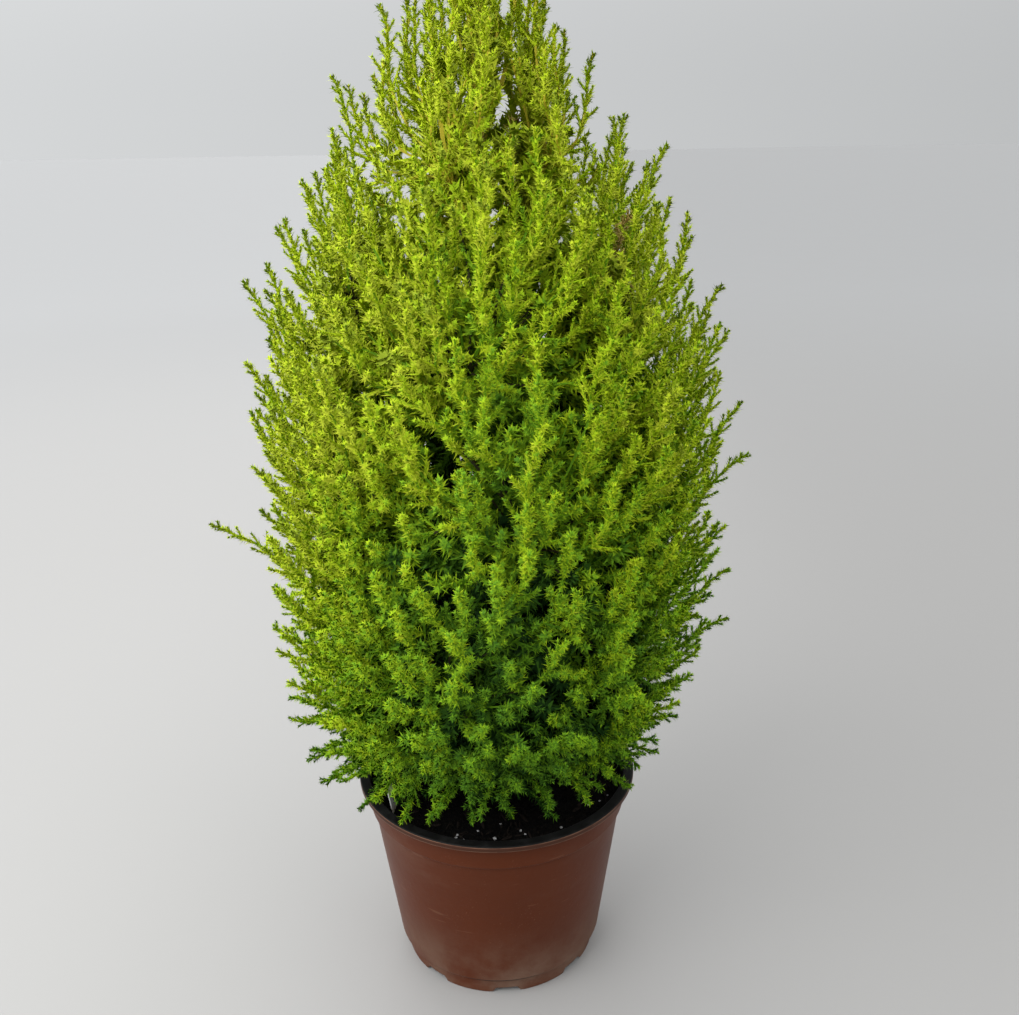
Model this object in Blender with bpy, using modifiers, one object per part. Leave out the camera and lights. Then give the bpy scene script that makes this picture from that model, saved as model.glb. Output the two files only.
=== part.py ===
"""A lemon cypress growing in its nursery pot, as separate solids, in metres.

The origin is the middle of the pot's flat underside, +Z is up and -Y is the side that faces the viewer.
The crown is laid out in its own coordinates. A shoot leaves the trunk at a launch height, runs outwards
and upwards on a bent path, and ends on the crown's outline. Three numbers give any place in the crown:
the azimuth round the trunk, the level, which picks the path, and how far along the path the place lies.
Each mass of foliage keeps to its own range of azimuth and level, so that no two of them can meet.
"""

import math
import random

import bmesh
import bpy
from mathutils import Matrix, Vector

GAP = 0.0003  # left between two solids that touch

# Pot, thermoformed from thin sheet: brown outside, black inside and over the lip
POT_HEIGHT = 0.1475
LIP_RADIUS = 0.100
LIP_HEIGHT = 0.0045
BAND_HEIGHT = 0.018  # the plain band between the lip and the stacking step
BAND_RADIUS = 0.0940
WALL_TOP_RADIUS = 0.0908
WALL_FOOT_RADIUS = 0.0757
FOOT_HEIGHT = 0.0135
FOOT_RADIUS = 0.0708
SHEET = 0.0014  # wall thickness
STEP_DEPTH = 0.0015
FOOT_RING_WIDTH = 0.011
FOOT_RING_HEIGHT = 0.0055
POT_CORNER = 0.0018
POT_SIDES = 32

# Drain notches in the foot, with a hole in the roof of each
NOTCH_COUNT = 8
NOTCH_AZIMUTH = math.radians(-86)
NOTCH_WIDTH = 0.021
NOTCH_TOP_SHARE = 0.78
NOTCH_HEIGHT = 0.004
NOTCH_DEPTH = 0.0085
HOLE_RADIUS = 0.003

# Potting soil, filled to just under the pot's rim, a little higher round the trunk
SOIL_TOP = 0.139
SOIL_MOUND = 0.002
SOIL_FALL = ((0.045, 0.5), (0.072, 0.0))  # radius, and share of the mound's height left there
SOIL_ROUGHNESS = 0.0012
TRUNK_SEAT_RADIUS = 0.014

# Blank plant label, pushed into the soil beside the wall at the front left
LABEL_WIDTH = 0.011
LABEL_THICKNESS = 0.0008
LABEL_LENGTH = 0.056
LABEL_MIDDLE = (-0.0700, -0.0450, 0.132)
LABEL_TURN = math.radians(83)
LABEL_LEAN = math.radians(9.5)

# Trunk
TRUNK_TOP = 0.602
TRUNK_FOOT_RADIUS = 0.0062
TRUNK_TIP_RADIUS = 0.0013
ROOT_FLARE = 0.0038
FLARE_HEIGHT = 0.009
TRUNK_SWAY = 0.0016
TRUNK_FOOT_RINGS = (0.0, 0.003, 0.008, 0.018, 0.04)  # heights above the soil
TRUNK_RING_SPACING = 0.05
FACETED = 0.93  # a round limb's flat sides lie this share of its radius out

# Crown outline: the level, radius and height of the shoot tips, from the skirt up to the leader
CROWN_OUTLINE = (
    (0.00, 0.122, 0.150),
    (0.10, 0.134, 0.204),
    (0.20, 0.150, 0.262),
    (0.30, 0.154, 0.325),
    (0.40, 0.154, 0.388),
    (0.50, 0.150, 0.450),
    (0.60, 0.140, 0.507),
    (0.70, 0.114, 0.556),
    (0.80, 0.080, 0.602),
    (0.90, 0.048, 0.648),
    (1.00, 0.024, 0.680),
    (1.20, 0.000, 0.700),
)
LAUNCH_LOW = 0.168
LAUNCH_RISE = 0.392
LAUNCH_POWER = 1.6
SKIRT_TOP_LEVEL = 0.22  # below it the shoots spread flat and droop
DROOP = math.radians(14)
UPSWEEP = math.radians(24)
HANDLE_SHARE = 0.38  # length of a path's two handles, as a share of the straight way
LEVEL_SCALE = 0.6  # metres that one level counts for where shoots are compared
SKIRT_SHIFT = 0.011  # the skirt reaches further to the left than to the right
SKIRT_FRONT_CUT = 0.24

# Masses of foliage: tiers from the skirt up, each cut into equal sectors
TIERS = ("skirt", "lower", "middle", "upper", "crown")
TIER_LEVELS = (0.0, 0.2, 0.4, 0.6, 0.8, 1.0)
SECTORS = (6, 5, 5, 4, 3)
TIER_TURNS = (30, 34, 69, 82, 0)  # azimuth of each tier's first mass, in degrees
PLUMES = (10, 12, 12, 13, 9)
LEADER_LEVELS = (1.04, 1.2)
LEADER_PLUMES = 6
GOLDEN_ANGLE = math.radians(137.5)
EDGE_SHARE = 0.90  # plume tips stay inside this share of the mass's half width
EVEN_STEPS = (0.7548776662, 0.5698402910)  # a lattice that fills a square evenly
LENGTH_JITTER = 0.035

# Shoots that stand out beyond the outline: azimuth in degrees, level, and extra reach
LONG_SHOOTS = (
    (181, 0.290, 0.040),
    (2, 0.365, 0.024),
    (-8, 0.440, 0.014),
    (178, 0.570, 0.014),
    (186, 0.080, 0.010),
    (8, 0.720, 0.014),
    (170, 0.795, 0.022),
    (188, 0.885, 0.016),
    (-6, 0.205, 0.010),
    (-12, 0.960, 0.014),
    (92, 0.330, 0.020),
    (-88, 0.345, 0.018),
    (60, 0.560, 0.020),
    (250, 0.500, 0.014),
)

BOUGH_START_RADIUS = 0.0024
BOUGH_TIP_RADIUS = 0.0017
BOUGH_END = 0.27  # how far along its path a bough gives way to the stem of its mass
STAGGER = 0.30  # neighbouring boughs leave the trunk this share of a tier apart
STEM_TIP_RADIUS = 0.0012
STEM_LEAD = 0.06  # how much further along its path a stem has its first bend
STEM_DEPTH = 0.35  # the share of the core that a stem reaches into
FORK = 0.40
FANNED_OUT = 0.86

# The dense middle of a mass is a rounded block in the crown's coordinates
CORE_START = 0.28
CORE_END = 0.83
CORE_WIDTH_SHARE = 0.95
CORE_RISE_SHARE = 0.86
CORE_DROP_SHARE = 0.94
CORE_SQUARENESS = 0.65
CORE_SEGMENTS = 8
CORE_RINGS = 5

# A plume is a slim three-sided core with two whorls of teeth: share of its length, radius
PLUME_START = 0.58
PLUME_SHAPE = (
    (0.00, 0.0045),
    (0.44, 0.0135),
    (0.60, 0.0045),
    (0.80, 0.0095),
    (1.00, 0.0),
)
WHORL_TURN = math.radians(60)
LEADER_PLUME_START = 0.15
LEADER_PLUME_WIDTH = 0.55  # against a plume of the tiers
LEADER_STEM_RADII = (TRUNK_TIP_RADIUS, 0.0034, 0.0008)

COLOURS = {  # base colour, roughness
    "pot": ((0.115, 0.036, 0.018), 0.42),
    "soil": ((0.012, 0.009, 0.007), 0.95),
    "plant_label": ((0.72, 0.73, 0.70), 0.5),
    "bark": ((0.17, 0.075, 0.035), 0.85),
    "foliage": ((0.25, 0.42, 0.025), 0.6),
}


# Scene and object helpers


def clear_scene():
    for obj in list(bpy.data.objects):
        bpy.data.objects.remove(obj, do_unlink=True)


def new_collection(name):
    collection = bpy.data.collections.new(name)
    bpy.context.scene.collection.children.link(collection)
    return collection


def material(name):
    found = bpy.data.materials.get(name)
    if found:
        return found
    colour, roughness = COLOURS[name]
    made = bpy.data.materials.new(name)
    made.use_nodes = True
    shader = made.node_tree.nodes["Principled BSDF"]
    shader.inputs["Base Color"].default_value = (*colour, 1)
    shader.inputs["Roughness"].default_value = roughness
    shader.inputs["Metallic"].default_value = 0.0
    made.diffuse_color = (*colour, 1)
    return made


def mesh_object(name, bm, collection, slot=None):
    bmesh.ops.recalc_face_normals(bm, faces=bm.faces)
    if bm.calc_volume(signed=True) < 0:
        bmesh.ops.reverse_faces(bm, faces=bm.faces)
    mesh = bpy.data.meshes.new(name)
    bm.to_mesh(mesh)
    bm.free()
    obj = bpy.data.objects.new(name, mesh)
    collection.objects.link(obj)
    if slot:
        mesh.materials.append(material(slot))
    return obj


def hide_cutter(obj):
    obj.hide_render = True
    obj.display_type = "WIRE"


def turned(name, profile, sides, collection, slot=None):
    """A turned solid. The profile runs down the outer side and back up the inner one, in X and Z."""
    bm = bmesh.new()
    points = [bm.verts.new((radius, 0, height)) for radius, height in profile]
    for first, second in zip(points, points[1:]):
        bm.edges.new((first, second))
    mesh = bpy.data.meshes.new(name)
    bm.to_mesh(mesh)
    bm.free()
    obj = bpy.data.objects.new(name, mesh)
    collection.objects.link(obj)
    if slot:
        mesh.materials.append(material(slot))
    screw = obj.modifiers.new("turn", "SCREW")
    screw.steps = screw.render_steps = sides
    screw.use_merge_vertices = True
    screw.merge_threshold = 0.00001
    screw.use_smooth_shade = True
    return obj


def boolean(obj, name, operation, target):
    modifier = obj.modifiers.new(name, "BOOLEAN")
    modifier.operation = operation
    if isinstance(target, bpy.types.Collection):
        modifier.operand_type = "COLLECTION"
        modifier.collection = target
    else:
        modifier.object = target
    return modifier


def triangle_profile(collection):
    """The three-sided cross-section of twigs and plumes, one metre in radius, scaled by each point."""
    curve = bpy.data.curves.new("three_sided_section", "CURVE")
    curve.dimensions = "2D"
    spline = curve.splines.new("POLY")
    spline.points.add(2)
    spline.use_cyclic_u = True
    for index, point in enumerate(spline.points):
        angle = index * 2 * math.pi / 3
        point.co = (math.cos(angle), math.sin(angle), 0, 1)
    section = bpy.data.objects.new("three_sided_section", curve)
    collection.objects.link(section)
    hide_cutter(section)
    return section


def limb(name, points, radii, collection, slot=None, section=None, turns=None, sides=6):
    """A closed tapering limb along the points: a curve with filled caps, made a mesh and welded."""
    curve = bpy.data.curves.new(name, "CURVE")
    curve.dimensions = "3D"
    curve.twist_mode = "MINIMUM"
    curve.use_fill_caps = True
    if section:
        curve.bevel_mode = "OBJECT"
        curve.bevel_object = section
    else:
        curve.bevel_depth = 1.0
        curve.bevel_resolution = sides // 2 - 2
    spline = curve.splines.new("POLY")
    spline.points.add(len(points) - 1)
    for index, point in enumerate(spline.points):
        point.co = (*points[index], 1)
        point.radius = radii[index]
        point.tilt = turns[index] if turns else 0
    drawn = bpy.data.objects.new(name, curve)
    collection.objects.link(drawn)
    bpy.context.view_layer.update()
    graph = bpy.context.evaluated_depsgraph_get()
    mesh = bpy.data.meshes.new_from_object(drawn.evaluated_get(graph))
    bpy.data.objects.remove(drawn)
    bpy.data.curves.remove(curve)
    bm = bmesh.new()
    bm.from_mesh(mesh)
    bpy.data.meshes.remove(mesh)
    bmesh.ops.remove_doubles(bm, verts=bm.verts, dist=0.00002)
    if turns:
        # A quad between two turned rings folds inwards unless it is split along its short diagonal.
        bmesh.ops.triangulate(bm, faces=bm.faces, quad_method="SHORT_EDGE")
    return mesh_object(name, bm, collection, slot)


# Crown coordinates


def blend(low, high, share):
    return low + (high - low) * share


def smooth(share):
    share = min(1.0, max(0.0, share))
    return share * share * (3 - 2 * share)


def tip_of(level):
    """Radius and height of the crown's outline at a level."""
    for low, high in zip(CROWN_OUTLINE, CROWN_OUTLINE[1:]):
        if level <= high[0]:
            break
    share = (level - low[0]) / (high[0] - low[0])
    return Vector((blend(low[1], high[1], share), blend(low[2], high[2], share)))


def launch_of(level):
    """Height at which the path of a level leaves the trunk's axis."""
    height = LAUNCH_LOW + LAUNCH_RISE * max(level, 0) ** LAUNCH_POWER
    return Vector((0.0, min(height, TRUNK_TOP)))


def path_of(level):
    """The four control points of a level's path, as radius and height."""
    root, tip = launch_of(level), tip_of(level)
    chord = tip - root
    slope = math.atan2(chord.y, chord.x)
    bend = blend(-DROOP, UPSWEEP, smooth(level / SKIRT_TOP_LEVEL))
    start = slope - bend
    end = min(slope + bend, math.pi / 2)
    reach = HANDLE_SHARE * chord.length
    handle = root + reach * Vector((math.cos(start), math.sin(start)))
    last = tip - reach * Vector((math.cos(end), math.sin(end)))
    return root, handle, last, tip


def along_path(level, along):
    """Radius and height at a share of the path. Past its end it leans out, the way the chord runs."""
    root, handle, last, tip = path_of(level)
    share = min(along, 1.0)
    rest = 1 - share
    place = (
        rest**3 * root
        + 3 * rest**2 * share * handle
        + 3 * rest * share**2 * last
        + share**3 * tip
    )
    if along > 1:
        place += (tip - root) * (along - 1)
    return place


def crown_point(azimuth, level, along):
    """A place in the crown, from its azimuth, its level and how far along the path it lies."""
    radius, height = along_path(level, along)
    skirt = 1 - smooth(level / SKIRT_TOP_LEVEL)
    radius *= 1 - SKIRT_FRONT_CUT * skirt * max(0.0, -math.sin(azimuth)) ** 2
    shift = SKIRT_SHIFT * skirt * along
    return Vector((radius * math.cos(azimuth) - shift, radius * math.sin(azimuth), height))


class Mass:
    """One mass of foliage: its range of azimuth and level, and the plumes that fill it."""

    def __init__(self, name, azimuth, half_angle, low, high, count, lift):
        self.name = name
        self.azimuth = azimuth
        self.half_angle = half_angle
        self.low = low
        self.high = high
        self.lift = lift
        self.plumes = self.plan(count)

    def plan(self, count):
        """Azimuth, level and end of each plume, spread evenly over the mass by a seeded lattice."""
        rng = random.Random(self.name)
        across, up = rng.random(), rng.random()
        middle = blend(self.low, self.high, 0.5)
        plumes = []
        for index in range(count):
            column = (across + index * EVEN_STEPS[0]) % 1 * 2 - 1
            row = (up + index * EVEN_STEPS[1]) % 1 * 2 - 1
            azimuth = self.azimuth + EDGE_SHARE * column * self.half_angle
            level = middle + EDGE_SHARE * row * (self.high - self.low) / 2
            end = 1 + rng.uniform(-LENGTH_JITTER, LENGTH_JITTER)
            plumes.append([azimuth, level, end])
        self.stretch_long_shoots(plumes)
        return plumes

    def stretch_long_shoots(self, plumes):
        """Moves the nearest plume to each long shoot that belongs to this mass, and lengthens it."""
        for degrees, level, extra in LONG_SHOOTS:
            away = math.remainder(math.radians(degrees) - self.azimuth, 2 * math.pi)
            if abs(away) > self.half_angle or not self.low < level <= self.high:
                continue
            share = max(-EDGE_SHARE, min(EDGE_SHARE, away / self.half_angle))
            place = self.azimuth + share * self.half_angle
            radius = tip_of(level).x
            nearest = min(
                plumes,
                key=lambda plume: math.hypot(
                    (plume[0] - place) * radius, (plume[1] - level) * LEVEL_SCALE
                ),
            )
            length = (tip_of(level) - launch_of(level)).length
            nearest[:] = [place, level, 1 + extra / length]

    def stem_point(self, along):
        middle = blend(self.low, self.high, 0.5)
        stagger = self.lift * (self.high - self.low) * max(0.0, 1 - along / BOUGH_END) ** 2
        return crown_point(self.azimuth, middle + stagger, along)

    def plume_point(self, plume, along):
        """A place on a plume's axis, which fans out from the mass's stem to the plume's own tip."""
        azimuth, level, _ = plume
        share = smooth((along - FORK) / (FANNED_OUT - FORK))
        middle = blend(self.low, self.high, 0.5)
        return crown_point(
            blend(self.azimuth, azimuth, share), blend(middle, level, share), along
        )

    def room(self, plume, along):
        """How far from a plume's axis its mass's space ends."""
        azimuth, level, _ = plume
        share = smooth((along - FORK) / (FANNED_OUT - FORK))
        azimuth = blend(self.azimuth, azimuth, share)
        level = blend(blend(self.low, self.high, 0.5), level, share)
        here = crown_point(azimuth, level, along)
        ahead = (crown_point(azimuth, level, along + 0.01) - here).normalized()
        beside = self.half_angle - abs(azimuth - self.azimuth)
        radius = math.hypot(here.x, here.y)
        rooms = [radius * math.sin(min(beside, math.pi / 2))]
        for edge in (self.low, self.high):
            away = crown_point(azimuth, edge, along) - here
            rooms.append((away - ahead * away.dot(ahead)).length)
        return min(rooms) - GAP


def crown_masses():
    """Every mass of the tiers, from the skirt up, each tier turned against the one below."""
    masses = []
    for tier, tier_name in enumerate(TIERS):
        sectors = SECTORS[tier]
        low, high = TIER_LEVELS[tier : tier + 2]
        for sector in range(sectors):
            masses.append(
                Mass(
                    f"{tier_name}_foliage_{sector + 1}",
                    math.radians(TIER_TURNS[tier] + sector * 360 / sectors),
                    math.pi / sectors,
                    low,
                    high,
                    PLUMES[tier],
                    STAGGER * (-1) ** sector,
                )
            )
    return masses


# Pot, soil and label


def pot_profiles():
    """The pot's section, up its inner side and down its outer one, and the soil's section inside it."""
    lip_foot = POT_HEIGHT - LIP_HEIGHT
    band_foot = lip_foot - BAND_HEIGHT
    step_foot = band_foot - STEP_DEPTH
    shoulder = FOOT_HEIGHT - STEP_DEPTH
    inner_lip = BAND_RADIUS - SHEET
    ring_inside = FOOT_RADIUS - FOOT_RING_WIDTH
    corner = POT_CORNER
    outer = [
        (inner_lip + corner / 2, POT_HEIGHT),
        (LIP_RADIUS - corner, POT_HEIGHT),
        (LIP_RADIUS, POT_HEIGHT - corner),
        (LIP_RADIUS, lip_foot),
        (BAND_RADIUS, lip_foot),
        (BAND_RADIUS - STEP_DEPTH, band_foot),
        (WALL_TOP_RADIUS, step_foot),
        (WALL_FOOT_RADIUS, FOOT_HEIGHT + STEP_DEPTH),
        (FOOT_RADIUS + corner, shoulder),
        (FOOT_RADIUS, corner / 2),
        (FOOT_RADIUS - corner / 2, 0),
        (0, 0),
    ]
    inner = [
        (0, SHEET),
        (ring_inside - corner, SHEET),
        (ring_inside, FOOT_RING_HEIGHT),
        (FOOT_RADIUS - SHEET, FOOT_RING_HEIGHT),
        (WALL_FOOT_RADIUS - SHEET, FOOT_HEIGHT + 2 * STEP_DEPTH),
        (WALL_TOP_RADIUS - SHEET, band_foot),
        (BAND_RADIUS - STEP_DEPTH - SHEET, band_foot + STEP_DEPTH),
        (inner_lip, lip_foot + corner),
        (inner_lip, POT_HEIGHT - corner / 2),
    ]
    ledge = inner[6]
    wall_at_soil = blend(ledge[0], inner_lip, (SOIL_TOP - ledge[1]) / (inner[7][1] - ledge[1]))
    soil = [
        (0, SOIL_TOP + SOIL_MOUND),
        (TRUNK_SEAT_RADIUS, SOIL_TOP + SOIL_MOUND),
        *((radius, SOIL_TOP + share * SOIL_MOUND) for radius, share in SOIL_FALL),
        (wall_at_soil - 2 * GAP, SOIL_TOP),
    ]
    for radius, height in reversed(inner[1:7]):
        soil.append((radius - 1.5 * GAP, height + GAP))
    soil.append((0, SHEET + GAP))
    return inner + outer, soil


def notch_place(index):
    return Matrix.Rotation(NOTCH_AZIMUTH + index * 2 * math.pi / NOTCH_COUNT, 4, "Z")


def foot_cutters(collection):
    """A tapering notch in the foot's edge and a drain hole through its roof, repeated round the foot."""
    for index in range(NOTCH_COUNT):
        bm = bmesh.new()
        bmesh.ops.create_cube(bm, size=1)
        for vert in bm.verts:
            share = NOTCH_TOP_SHARE if vert.co.z > 0 else 1.0
            vert.co.x = FOOT_RADIUS - NOTCH_DEPTH + (vert.co.x + 0.5) * 2 * NOTCH_DEPTH
            vert.co.y *= NOTCH_WIDTH * share
            vert.co.z = NOTCH_HEIGHT if vert.co.z > 0 else -NOTCH_HEIGHT
        bmesh.ops.transform(bm, matrix=notch_place(index), verts=bm.verts)
        hide_cutter(mesh_object(f"notch_cutter_{index + 1}", bm, collection))
        bm = bmesh.new()
        bmesh.ops.create_cone(
            bm,
            cap_ends=True,
            segments=8,
            radius1=HOLE_RADIUS,
            radius2=HOLE_RADIUS,
            depth=2 * FOOT_RING_HEIGHT,
            matrix=notch_place(index)
            @ Matrix.Translation((FOOT_RADIUS - NOTCH_DEPTH / 2, 0, FOOT_RING_HEIGHT)),
        )
        hide_cutter(mesh_object(f"drain_cutter_{index + 1}", bm, collection))


def make_pot(parts, cutters):
    profile, _ = pot_profiles()
    pot = turned("pot", profile, POT_SIDES, parts, "pot")
    foot_cutters(cutters)
    boolean(pot, "drain notches", "DIFFERENCE", cutters)


def label_block(name, collection, swell, slot=None):
    """The label's plate, or the same plate grown by swell to cut its slot."""
    bm = bmesh.new()
    bmesh.ops.create_cube(bm, size=1)
    size = Matrix.Diagonal(
        (LABEL_WIDTH + 2 * swell, LABEL_THICKNESS + 2 * swell, LABEL_LENGTH + 2 * swell, 1)
    )
    turn = Matrix.Rotation(LABEL_TURN, 4, "Z")
    lean = Matrix.Rotation(-LABEL_LEAN, 4, "Y")
    place = Matrix.Translation(LABEL_MIDDLE)
    bmesh.ops.transform(bm, matrix=place @ lean @ turn @ size, verts=bm.verts)
    return mesh_object(name, bm, collection, slot)


def make_soil(parts, cutters):
    _, profile = pot_profiles()
    soil = turned("soil", profile, POT_SIDES, parts, "soil")
    bpy.context.view_layer.update()
    graph = bpy.context.evaluated_depsgraph_get()
    mesh = bpy.data.meshes.new_from_object(soil.evaluated_get(graph))
    soil.modifiers.clear()
    soil.data = mesh
    rng = random.Random("soil")
    for vert in mesh.vertices:
        radius = math.hypot(vert.co.x, vert.co.y)
        if vert.co.z > SOIL_TOP - GAP and SOIL_FALL[0][0] - GAP < radius < SOIL_FALL[-1][0] + GAP:
            vert.co.z += rng.uniform(-SOIL_ROUGHNESS, SOIL_ROUGHNESS)
    slot_cutter = label_block("label_slot_cutter", cutters, GAP)
    hide_cutter(slot_cutter)
    boolean(soil, "label slot", "DIFFERENCE", slot_cutter)


# Trunk and boughs


def trunk_radius(height):
    foot = SOIL_TOP + SOIL_MOUND
    share = (height - foot) / (TRUNK_TOP - foot)
    straight = blend(TRUNK_FOOT_RADIUS, TRUNK_TIP_RADIUS, share)
    return straight + ROOT_FLARE * math.exp(-(height - foot) / FLARE_HEIGHT)


def trunk_axis(height):
    """The trunk's middle, which sways a little and is back on the axis at both ends."""
    foot = SOIL_TOP + SOIL_MOUND
    share = (height - foot) / (TRUNK_TOP - foot)
    sway = TRUNK_SWAY * math.sin(math.pi * share)
    return Vector((sway * math.sin(5 * share), sway * math.cos(4 * share), height))


def make_trunk(parts):
    foot = SOIL_TOP + SOIL_MOUND + GAP
    heights = [foot + height for height in TRUNK_FOOT_RINGS]
    while heights[-1] < TRUNK_TOP - TRUNK_RING_SPACING:
        heights.append(heights[-1] + TRUNK_RING_SPACING)
    heights.append(TRUNK_TOP)
    points = [trunk_axis(height) for height in heights]
    points[1].xy = points[0].xy
    radii = [trunk_radius(height) for height in heights]
    limb("trunk", points, radii, parts, "bark", sides=12)


def limb_start(mass, radius):
    """How far along its path a limb stands clear of the trunk's bark."""
    along = 0.01
    while along < BOUGH_END:
        place = mass.stem_point(along)
        ahead = (mass.stem_point(along + 0.01) - place).normalized()
        away = (place.xy - trunk_axis(place.z).xy).length
        if away > FACETED * (trunk_radius(place.z) + radius * abs(ahead.z)) + GAP:
            return along
        along += 0.0002
    return along


def make_bough(mass, parts):
    start = limb_start(mass, BOUGH_START_RADIUS)
    shares = (0, 0.5, 1)
    points = [mass.stem_point(blend(start, BOUGH_END, share)) for share in shares]
    radii = [blend(BOUGH_START_RADIUS, BOUGH_TIP_RADIUS, share) for share in shares]
    limb(mass.name.replace("foliage", "bough"), points, radii, parts, "bark", sides=6)


# Foliage


def shells_of(bm):
    """The bmesh's faces, one list for each shell. Shells that only touch along an edge stay apart."""
    left = set(bm.faces)
    shells = []
    while left:
        found = [left.pop()]
        for face in found:
            for edge in face.edges:
                if len(edge.link_faces) != 2:
                    continue
                for other in edge.link_faces:
                    if other in left:
                        left.remove(other)
                        found.append(other)
        shells.append(found)
    return shells


def keep_outer_shell(mesh):
    """Fills the hollows that the union sealed in and drops loose scraps: only the largest shell is kept."""
    bm = bmesh.new()
    bm.from_mesh(mesh)
    shells = sorted(shells_of(bm), key=lambda faces: sum(face.calc_area() for face in faces))
    scraps = [face for faces in shells[:-1] for face in faces]
    bmesh.ops.delete(bm, geom=scraps, context="FACES")
    bm.to_mesh(mesh)
    bm.free()


def fuse(core, collection):
    """Joins everything in the collection to the core, and keeps the result as the core's own mesh."""
    boolean(core, "fuse", "UNION", collection).solver = "MANIFOLD"
    bpy.context.view_layer.update()
    graph = bpy.context.evaluated_depsgraph_get()
    mesh = bpy.data.meshes.new_from_object(core.evaluated_get(graph))
    core.modifiers.clear()
    core.data = mesh
    mesh.materials.clear()
    mesh.materials.append(material("foliage"))
    for obj in list(collection.objects):
        bpy.data.objects.remove(obj, do_unlink=True)
    keep_outer_shell(mesh)


def squared(share):
    return math.copysign(abs(share) ** CORE_SQUARENESS, share)


def make_core(mass, parts):
    """A ball, pressed into a rounded block in the middle of the mass's own space."""
    bm = bmesh.new()
    bmesh.ops.create_uvsphere(
        bm, u_segments=CORE_SEGMENTS, v_segments=CORE_RINGS, radius=1
    )
    for vert in bm.verts:
        across, up = squared(vert.co.x), squared(vert.co.y)
        azimuth = mass.azimuth + CORE_WIDTH_SHARE * across * mass.half_angle
        tall = CORE_RISE_SHARE if up > 0 else CORE_DROP_SHARE
        level = blend(mass.low, mass.high, 0.5 + tall * up / 2)
        along = blend(CORE_START, CORE_END, 0.5 + vert.co.z / 2)
        vert.co = crown_point(azimuth, level, along)
    return mesh_object(mass.name, bm, parts, "foliage")


def make_plume(mass, index, plume, section, collection):
    end = plume[2]
    points = []
    radii = []
    turns = []
    for order, (share, radius) in enumerate(PLUME_SHAPE):
        along = blend(PLUME_START, end, share)
        points.append(mass.plume_point(plume, along))
        radii.append(min(radius, mass.room(plume, along)))
        turns.append(WHORL_TURN * order + GOLDEN_ANGLE * index)
    limb(f"plume_{index}", points, radii, collection, section=section, turns=turns)


def make_mass(mass, has_bough, parts, twigs, section):
    core = make_core(mass, parts)
    if has_bough:
        first = mass.stem_point(BOUGH_END)
        second = mass.stem_point(BOUGH_END + STEM_LEAD)
        root = first + (second - first).normalized() * 2 * GAP
    else:
        start = limb_start(mass, BOUGH_TIP_RADIUS)
        root = mass.stem_point(start)
        second = mass.stem_point(blend(start, CORE_START, 0.5))
    last = mass.stem_point(blend(CORE_START, CORE_END, STEM_DEPTH))
    radii = (BOUGH_TIP_RADIUS, BOUGH_TIP_RADIUS, STEM_TIP_RADIUS)
    limb("stem", (root, second, last), radii, twigs, sides=6)
    for index, plume in enumerate(mass.plumes):
        make_plume(mass, index, plume, section, twigs)
    fuse(core, twigs)


def make_leader(parts, twigs, section):
    """The leader's plumes stand round a stem that carries on from the trunk's tip."""
    low, high = LEADER_LEVELS
    leader = Mass("leader_foliage", 0.0, math.pi, low, high, LEADER_PLUMES, 0.0)
    root = Vector((0, 0, TRUNK_TOP + GAP))
    top = tip_of(LEADER_LEVELS[1]).y
    middle = Vector((0, 0, blend(root.z, top, 0.5)))
    stem = limb(
        "leader_foliage",
        (root, middle, Vector((0, 0, top))),
        LEADER_STEM_RADII,
        parts,
        "foliage",
        sides=6,
    )
    for index, plume in enumerate(leader.plumes):
        azimuth = index * GOLDEN_ANGLE
        level = blend(low, high, (index + 0.5) / LEADER_PLUMES)
        points = []
        radii = []
        turns = []
        for order, (share, radius) in enumerate(PLUME_SHAPE):
            along = blend(LEADER_PLUME_START, plume[2], share)
            points.append(crown_point(azimuth, level, along))
            radii.append(LEADER_PLUME_WIDTH * radius)
            turns.append(WHORL_TURN * order)
        limb(f"plume_{index}", points, radii, twigs, section=section, turns=turns)
    fuse(stem, twigs)


def main():
    clear_scene()
    parts = new_collection("lemon_cypress")
    twigs = new_collection("twigs")
    section = triangle_profile(new_collection("guides"))
    make_trunk(parts)
    for mass in crown_masses():
        has_bough = mass.high <= TIER_LEVELS[-2]
        if has_bough:
            make_bough(mass, parts)
        make_mass(mass, has_bough, parts, twigs, section)
    make_leader(parts, twigs, section)
    make_pot(parts, new_collection("foot_cutters"))
    make_soil(parts, new_collection("soil_cutters"))
    label_block("plant_label", parts, 0.0, "plant_label")


main()
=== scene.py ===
"""A lemon cypress in its nursery pot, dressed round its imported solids.

Everything is in metres, +Z is up, and the origin is the middle of the pot's flat underside.
"""

import math
import random

import bmesh
import bpy
import numpy as np
from mathutils import Matrix, Vector, noise


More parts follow.
